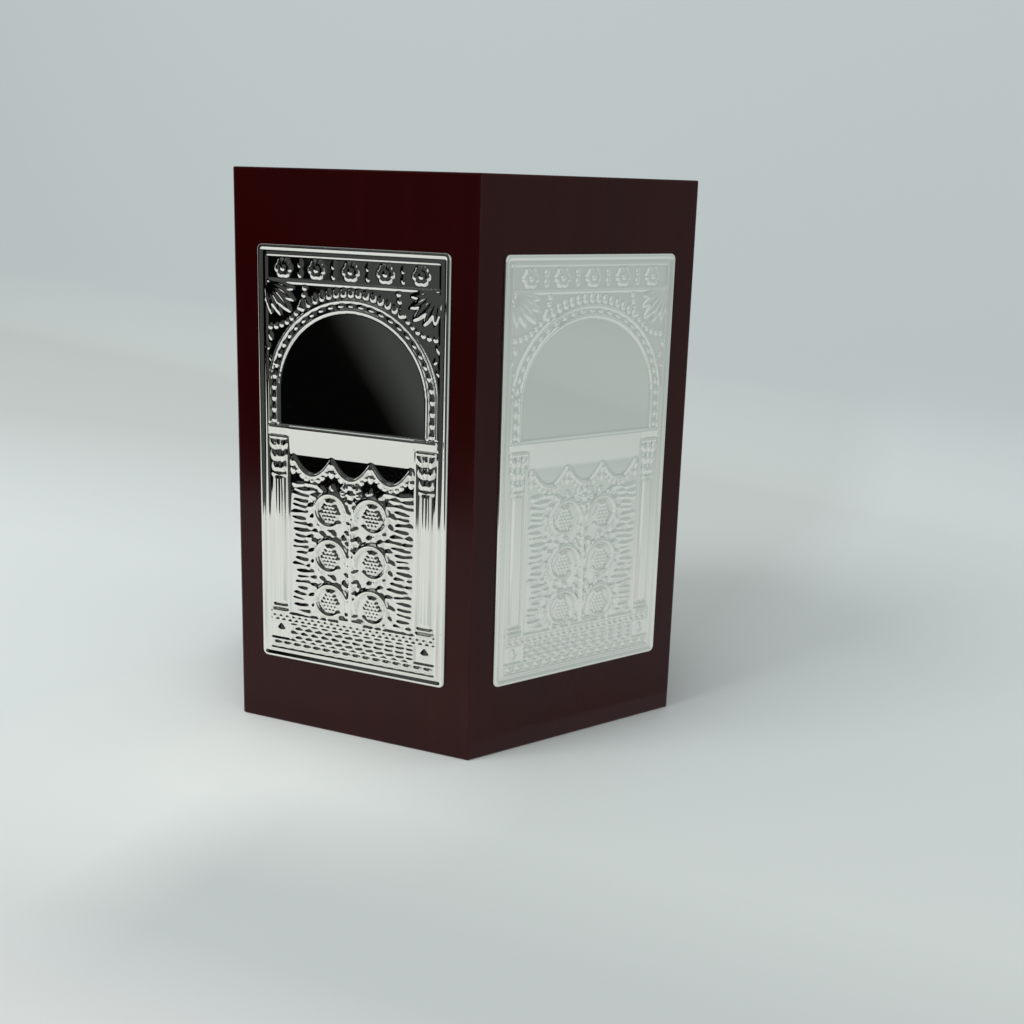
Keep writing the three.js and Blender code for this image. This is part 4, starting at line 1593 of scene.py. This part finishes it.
def makeLeaf(name, look, side, body, node, screwNodes):
    first = 0 if side > 0 else 1
    pitch = leafLength / look["knuckles"]
    reach = (look["knuckles"] // 2 - first) * pitch / mm
    line = drawn("knuckles", [[(-reach, 0, 1.0), (reach, 0, 1.0)]])
    knuckle = knuckleMotif(look, side)
    runTree(
        line, row, motif=knuckle, finish=nickel, spacing=2 * pitch,
        length=1.0, width=1.0, height=1.0,
    )
    piece = leafPlate(look, side)
    joinedTo(piece, line)
    for screwNode in screwNodes:
        place = middleOf(screwNode)
        place.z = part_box(screwNode)[0].z
        cutAway(piece, countersink(woodScrew, place, False))
    bpy.data.objects.remove(knuckle)
    piece.name = name
    evenShading(piece, 35)
    settle(piece, body, "nickelled_steel", node)


def makePin(look):
    reach, head = pinHigh.x - look["pinHead"], (pinHigh.z - pinLow.z) / 2
    ease, end = look["pinEase"], pinHigh.x
    half = [(look["pinRadius"], reach), (head, reach)]
    half += quarter(head - ease, end - ease, ease, 0, look["pinSteps"]) + [(0, end)]
    profile = [(radius, -x) for radius, x in reversed(half)] + half
    pin = moved(turned("hingePin", profile, nickel), Matrix.Rotation(math.pi / 2, 4, "Y"))
    moved(pin, Matrix.Translation((0, hingeY, hingeZ)))
    evenShading(pin)
    settle(pin, "case", "nickelled_steel", "hinge_pin")


def crossCutter(look):
    arm, half = look["crossArm"], look["crossHalf"]
    rings = []
    for z, grow in (look["crossMouth"], look["crossFloor"]):
        ring = []
        for number in range(4):
            spin = Matrix.Rotation(math.pi / 2 * number, 3, "Z")
            for x, y in ((arm * grow, -half), (arm * grow, half), (half, half)):
                ring.append(spin @ Vector((x, y, z)))
        rings.append(ring)
    return skinned("crossCutter", rings)


def addThread(screw, look, length):  # a three-sided ridge wound up the core
    crest, half, turnSteps = look["shankRadius"], look["threadHalf"], look["threadSteps"]
    core = crest * look["core"]
    low, high = look["headDepth"] + look["threadEnd"], length - look["threadEnd"]
    steps = int((high - low) / look["threadPitch"] * turnSteps)
    rise, fall = look["threadEase"]
    rings = []
    for step in range(steps + 1):
        angle = 2 * math.pi * step / turnSteps
        ease = min(1.0, step / rise, (steps - step) / fall)
        z = low + (high - low) * step / steps
        root, point = core * look["threadRoot"], core + (crest - core) * ease + hair
        rings.append([
            (r * math.cos(angle), r * math.sin(angle), z + up)
            for r, up in ((root, -half), (point, 0), (root, half))
        ])
    shape = bmesh.new()
    shape.from_mesh(screw.data)
    skin(shape, rings)
    bmesh.ops.recalc_face_normals(shape, faces=shape.faces)
    shape.to_mesh(screw.data)
    shape.free()


def screwPattern(look, length, finish):  # its head's face at the origin, its tip up
    shank, ease, depth = look["shankRadius"], look["headEase"], look["headDepth"]
    core = shank * look["core"]
    profile = [(0, look["headDip"]), (look["headRadius"] - ease, 0.0), (look["headRadius"], ease)]
    profile += [(shank, depth), (core, depth + look["neck"])]
    profile += [(core, length - look["point"]), (0, length)]
    screw = turned("screwPattern", profile, finish, look["segments"])
    cutAway(screw, crossCutter(look))
    addThread(screw, look, length)
    return screw


def makeScrews(name, look, nodes, finish, body, slot, down):
    low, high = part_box(nodes[0])
    pattern = screwPattern(look, high.z - low.z, finish)
    heads = []
    for node in nodes:
        place = middleOf(node)
        heads.append((place.x, place.y, high.z if down else low.z))
    mesh = bpy.data.meshes.new(name)
    mesh.from_pydata(heads, [], [])
    piece = linked(name, mesh)
    tip = math.pi if down else 0.0
    runTree(piece, screws, pattern=pattern, tipOver=tip, finish=finish)
    bpy.data.objects.remove(pattern)
    evenShading(piece, 35)
    settle(piece, body, slot, *nodes)


# the catch: two magnets in the base, and two steel discs on the hatch that they hold
catch = {
    "segments": 64,
    "magnetEase": (0.3 * mm, 5),    # rounding, and its steps
    "strikeEase": (0.2 * mm, 4),
}


def disc(name, node, ease, steps, finish):
    low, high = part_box(node)
    inner = (high.x - low.x) / 2 - ease
    profile = [(0, low.z)] + quarter(inner, low.z + ease, ease, -90, steps)
    profile += quarter(inner, high.z - ease, ease, 0, steps) + [(0, high.z)]
    place = middleOf(node)
    piece = turned(name, profile, finish, catch["segments"])
    return moved(piece, Matrix.Translation((place.x, place.y, 0)))


def makeMagnet(look, number):
    node = f"catch_magnet_{number}"
    piece = disc(f"magnet{number}", node, *look["magnetEase"], magnetFace)
    evenShading(piece)
    settle(piece, "case", "magnet", node)


def makeStrike(look, number):
    node = f"strike_plate_{number}"
    piece = disc(f"strike{number}", node, *look["strikeEase"], steel)
    hole = middleOf(node)
    hole.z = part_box(f"strike_screw_{number}")[1].z
    cutAway(piece, countersink(woodScrew, hole, True))
    evenShading(piece)
    settle(piece, "hatch", "strike_steel", node)


fixedScrews = ("hinge_screw_fixed_1", "hinge_screw_fixed_2")
movingScrews = ("hinge_screw_moving_1", "hinge_screw_moving_2")
strikeScrews = ("strike_screw_1", "strike_screw_2")
makeLeaf("fixedLeaf", hinge, 1, "case", "hinge_leaf_fixed", fixedScrews)
makeLeaf("movingLeaf", hinge, -1, "hatch", "hinge_leaf_moving", movingScrews)
makePin(hinge)
makeScrews("fixedScrews", woodScrew, fixedScrews, nickel, "case", "nickelled_steel", False)
makeScrews("movingScrews", woodScrew, movingScrews, nickel, "hatch", "nickelled_steel", False)
for number in (1, 2):
    makeMagnet(catch, number)
    makeStrike(catch, number)
makeScrews("strikeScrews", woodScrew, strikeScrews, steel, "hatch", "strike_steel", True)
print("hinge and catch ready")

# the photographer's place: millimetres and degrees
view = {
    "lens": 46.73,
    "sensor": 36.0,
    "nearest": 0.005,        # metres
    "place": (155.1, -316.1, 131.9),
    "heading": 23.591,       # left of the box's front-to-back line
    "down": 13.858,
    "roll": 1.738,
}


def placeCamera(look):
    data = bpy.data.cameras.new("camera")
    data.lens = look["lens"]
    data.sensor_width = look["sensor"]
    data.clip_start = look["nearest"]
    camera = linked("camera", data)
    heading, down = math.radians(look["heading"]), math.radians(look["down"])
    ahead = Vector((
        -math.sin(heading) * math.cos(down), math.cos(heading) * math.cos(down), -math.sin(down)
    ))
    right = Vector((math.cos(heading), math.sin(heading), 0))
    above = right.cross(ahead)
    facing = Matrix((right, above, -ahead)).transposed().to_4x4()
    place = Matrix.Translation(Vector(look["place"]) * mm)
    camera.matrix_world = place @ facing @ Matrix.Rotation(math.radians(look["roll"]), 4, "Z")
    scene.camera = camera


placeCamera(view)

# pale table and pale sweep behind, with painted light and painted shade laid on the table, and one soft
# lamp
studio = {
    "table": shown(214, 221, 219),
    # painted light and painted shade laid over it in turn, and the sweep's own tone up the wall; the
    # ramps are in millimetres, from where one begins to where it is full
    "tones": (
        # painted light: the table paler in front of the box
        {"colour": shown(223, 230, 228), "deep": (25, -45)},
        # painted light: a lit patch to the left
        {"colour": shown(235, 242, 241), "across": (-10, -70), "deep": (250, 50)},
        # painted light: a paler patch right of and behind the box, lifting its shade
        {"colour": shown(223, 230, 230), "across": (50, 80), "deep": (-85, -35)},
        {"colour": shown(247, 252, 249), "away": (70, 15)},    # painted pool of light, as thrown back by the silver, by distance from its middle
        # painted shade: a darker band in front, right of the middle
        {"colour": shown(209, 216, 215), "across": (-15, 12), "deep": (-84, -126)},
        # painted light: paler again further in front
        {"colour": shown(229, 233, 232), "deep": (-145, -175)},
        # the sweep's own tone, rising up the wall
        {"colour": shown(210, 219, 220), "rise": (0, 60)},
        # painted shade: darker far to the right
        {"colour": shown(195, 207, 205), "across": (160, 420)},
    ),
    "pool": (-0.015, -0.080, 0.0),
    "around": shown(197, 206, 207),
    "fill": 0.635,           # light from all round
    "fillColour": (0.99, 1.0, 1.0, 1.0),
    "lamp": 5.6,
    "lampSize": 0.6,
    "lampPlace": (-0.50, -0.74, 1.12),
    "lampAim": (0.0, 0.0, 0.06),
    "reach": 3.0,            # of the table and the sweep
    "wallAway": 0.30,        # behind the box
    "wallTurn": -20.5,
    "bend": 0.045,
    "bendSteps": 24,
    "tooClose": 12 * mm,     # the underside doesn't mirror what it stands on
}


def pathLight(tree, *names):
    light = tree.nodes.new("ShaderNodeLightPath")
    return combined(tree, "MAXIMUM", [light.outputs[name] for name in names])


# the paper's colour, with painted light and painted shade laid over it
def paperWithPaintedLight(tree, look):
    place = objectPlace(tree)
    across, deep, rise = addNode(tree, "ShaderNodeSeparateXYZ", {0: place}).outputs[:3]
    # distance from the middle of the painted pool of light
    inputs = {0: place, 1: look["pool"]}
    away = addNode(tree, "ShaderNodeVectorMath", inputs, operation="DISTANCE").outputs["Value"]
    measures = {"across": across, "deep": deep, "rise": rise, "away": away}
    colour = look["table"]
    for tone in look["tones"]:
        ramps = [
            scaled(tree, measure, tone[key][0] * mm, tone[key][1] * mm, 0.0, 1.0)
            for key, measure in measures.items() if key in tone
        ]
        colour = blend(tree, combined(tree, "MULTIPLY", ramps), colour, tone["colour"])
    return colour


def paperMaterial(name, look):  # seen from its front alone, so that it never hides the box
    material, tree, shader = newMaterial(name)
    tree.nodes.remove(shader)
    paper = addNode(tree, "ShaderNodeBsdfDiffuse", {"Color": paperWithPaintedLight(tree, look)})
    clear = tree.nodes.new("ShaderNodeBsdfTransparent")
    back = tree.nodes.new("ShaderNodeNewGeometry").outputs["Backfacing"]
    light = tree.nodes.new("ShaderNodeLightPath")
    near = calc(tree, "LESS_THAN", light.outputs["Ray Length"], look["tooClose"])
    close = calc(tree, "MULTIPLY", near, light.outputs["Is Glossy Ray"])
    share = calc(tree, "MAXIMUM", back, close)
    mixed = addNode(tree, "ShaderNodeMixShader", {0: share, 1: paper.outputs[0], 2: clear.outputs[0]})
    tree.links.new(mixed.outputs[0], tree.nodes["Material Output"].inputs["Surface"])
    return material


def makeSweep(look):
    shape = bmesh.new()
    away, bend, reach, steps = look["wallAway"], look["bend"], look["reach"], look["bendSteps"]
    section = [(-reach, 0.0), (away - bend, 0.0)]
    for step in range(1, steps + 1):
        angle = math.pi / 2 * step / steps
        section.append((away - bend + bend * math.sin(angle), bend - bend * math.cos(angle)))
    section.append((away, reach))
    rows = [[shape.verts.new((x, y, z)) for y, z in section] for x in (-reach, reach)]
    for index in range(len(section) - 1):
        face = (rows[0][index], rows[1][index], rows[1][index + 1], rows[0][index + 1])
        shape.faces.new(face)
    shape.transform(Matrix.Rotation(math.radians(look["wallTurn"]), 4, "Z"))
    mesh = bpy.data.meshes.new("sweep")
    shape.to_mesh(mesh)
    shape.free()
    mesh.materials.append(paperMaterial("palePaper", look))
    mesh.shade_smooth()
    sweep = linked("sweep", mesh)
    sweep.visible_diffuse = False
    sweep.visible_shadow = False


def makeLamp(look):
    data = bpy.data.lights.new("lamp", "AREA")
    data.energy = look["lamp"]
    data.size = look["lampSize"]
    lamp = linked("lamp", data)
    place = Vector(look["lampPlace"])
    facing = (Vector(look["lampAim"]) - place).to_track_quat("-Z", "Y").to_matrix().to_4x4()
    lamp.matrix_world = Matrix.Translation(place) @ facing


def makeSurroundings(look):
    world = bpy.data.worlds.new("surroundings")
    world.use_nodes = True
    scene.world = world
    tree = world.node_tree
    seen = pathLight(tree, "Is Camera Ray", "Is Glossy Ray", "Is Transmission Ray")
    plain = tree.nodes["Background"]
    plain.inputs["Color"].default_value = look["fillColour"]
    plain.inputs["Strength"].default_value = look["fill"]
    pale = addNode(tree, "ShaderNodeBackground", {"Color": look["around"], "Strength": 1.0})
    mixed = addNode(tree, "ShaderNodeMixShader", {0: seen, 1: plain.outputs[0], 2: pale.outputs[0]})
    tree.links.new(mixed.outputs[0], tree.nodes["World Output"].inputs["Surface"])


# a painted reflection: a card unseen by the camera and lit from within, dark with a pale part, that
# shows only in the silver and the lacquer
reflectionCard = {
    "away": -0.262,
    "foot": 0.001,
    "span": (-1.2, 0.12),
    "height": 1.4,
    "glow": (0.93, 1.0, 0.97, 1.0),
    "dark": 0.0015,
    "pale": 0.055,
    "lean": 0.66,                # the pale part begins further left higher up
    "fade": (-0.082, -0.060),
    "folds": {"size": 45 * mm, "stretch": (1, 1, 0.5)},
    "foldDepth": 0.012,
}


def reflectionCardMaterial(name, look):
    material, tree, shader = newMaterial(name)
    tree.nodes.remove(shader)
    place = objectPlace(tree)
    parts = addNode(tree, "ShaderNodeSeparateXYZ", {0: place}).outputs
    leaning = calc(tree, "MULTIPLY_ADD", parts[2], look["lean"], parts[0])
    centred = calc(tree, "SUBTRACT", leaning, look["foldDepth"] / 2)
    folds = noise(tree, place, **look["folds"])
    along = calc(tree, "MULTIPLY_ADD", folds, look["foldDepth"], centred)
    # painted reflection: near black to the right, glowing pale further left, its edge wobbled by noise
    bright = scaled(tree, along, *look["fade"], look["dark"], look["pale"])
    glow = addNode(tree, "ShaderNodeEmission", {"Color": look["glow"], "Strength": bright})
    tree.links.new(glow.outputs[0], tree.nodes["Material Output"].inputs["Surface"])
    return material


def makeReflectionCard(look):
    low, high = look["span"]
    foot, top = look["foot"], look["foot"] + look["height"]
    corners = [(x, look["away"], z) for x, z in ((low, foot), (high, foot), (high, top), (low, top))]
    mesh = bpy.data.meshes.new("darkCloth")
    mesh.from_pydata(corners, [], [(0, 1, 2, 3)])
    mesh.materials.append(reflectionCardMaterial("darkCloth", look))
    piece = linked("darkCloth", mesh)
    piece.visible_camera = False
    piece.visible_diffuse = False
    piece.visible_shadow = False
    piece.visible_transmission = False


makeSweep(studio)
makeLamp(studio)
makeSurroundings(studio)
makeReflectionCard(reflectionCard)
print("studio ready")
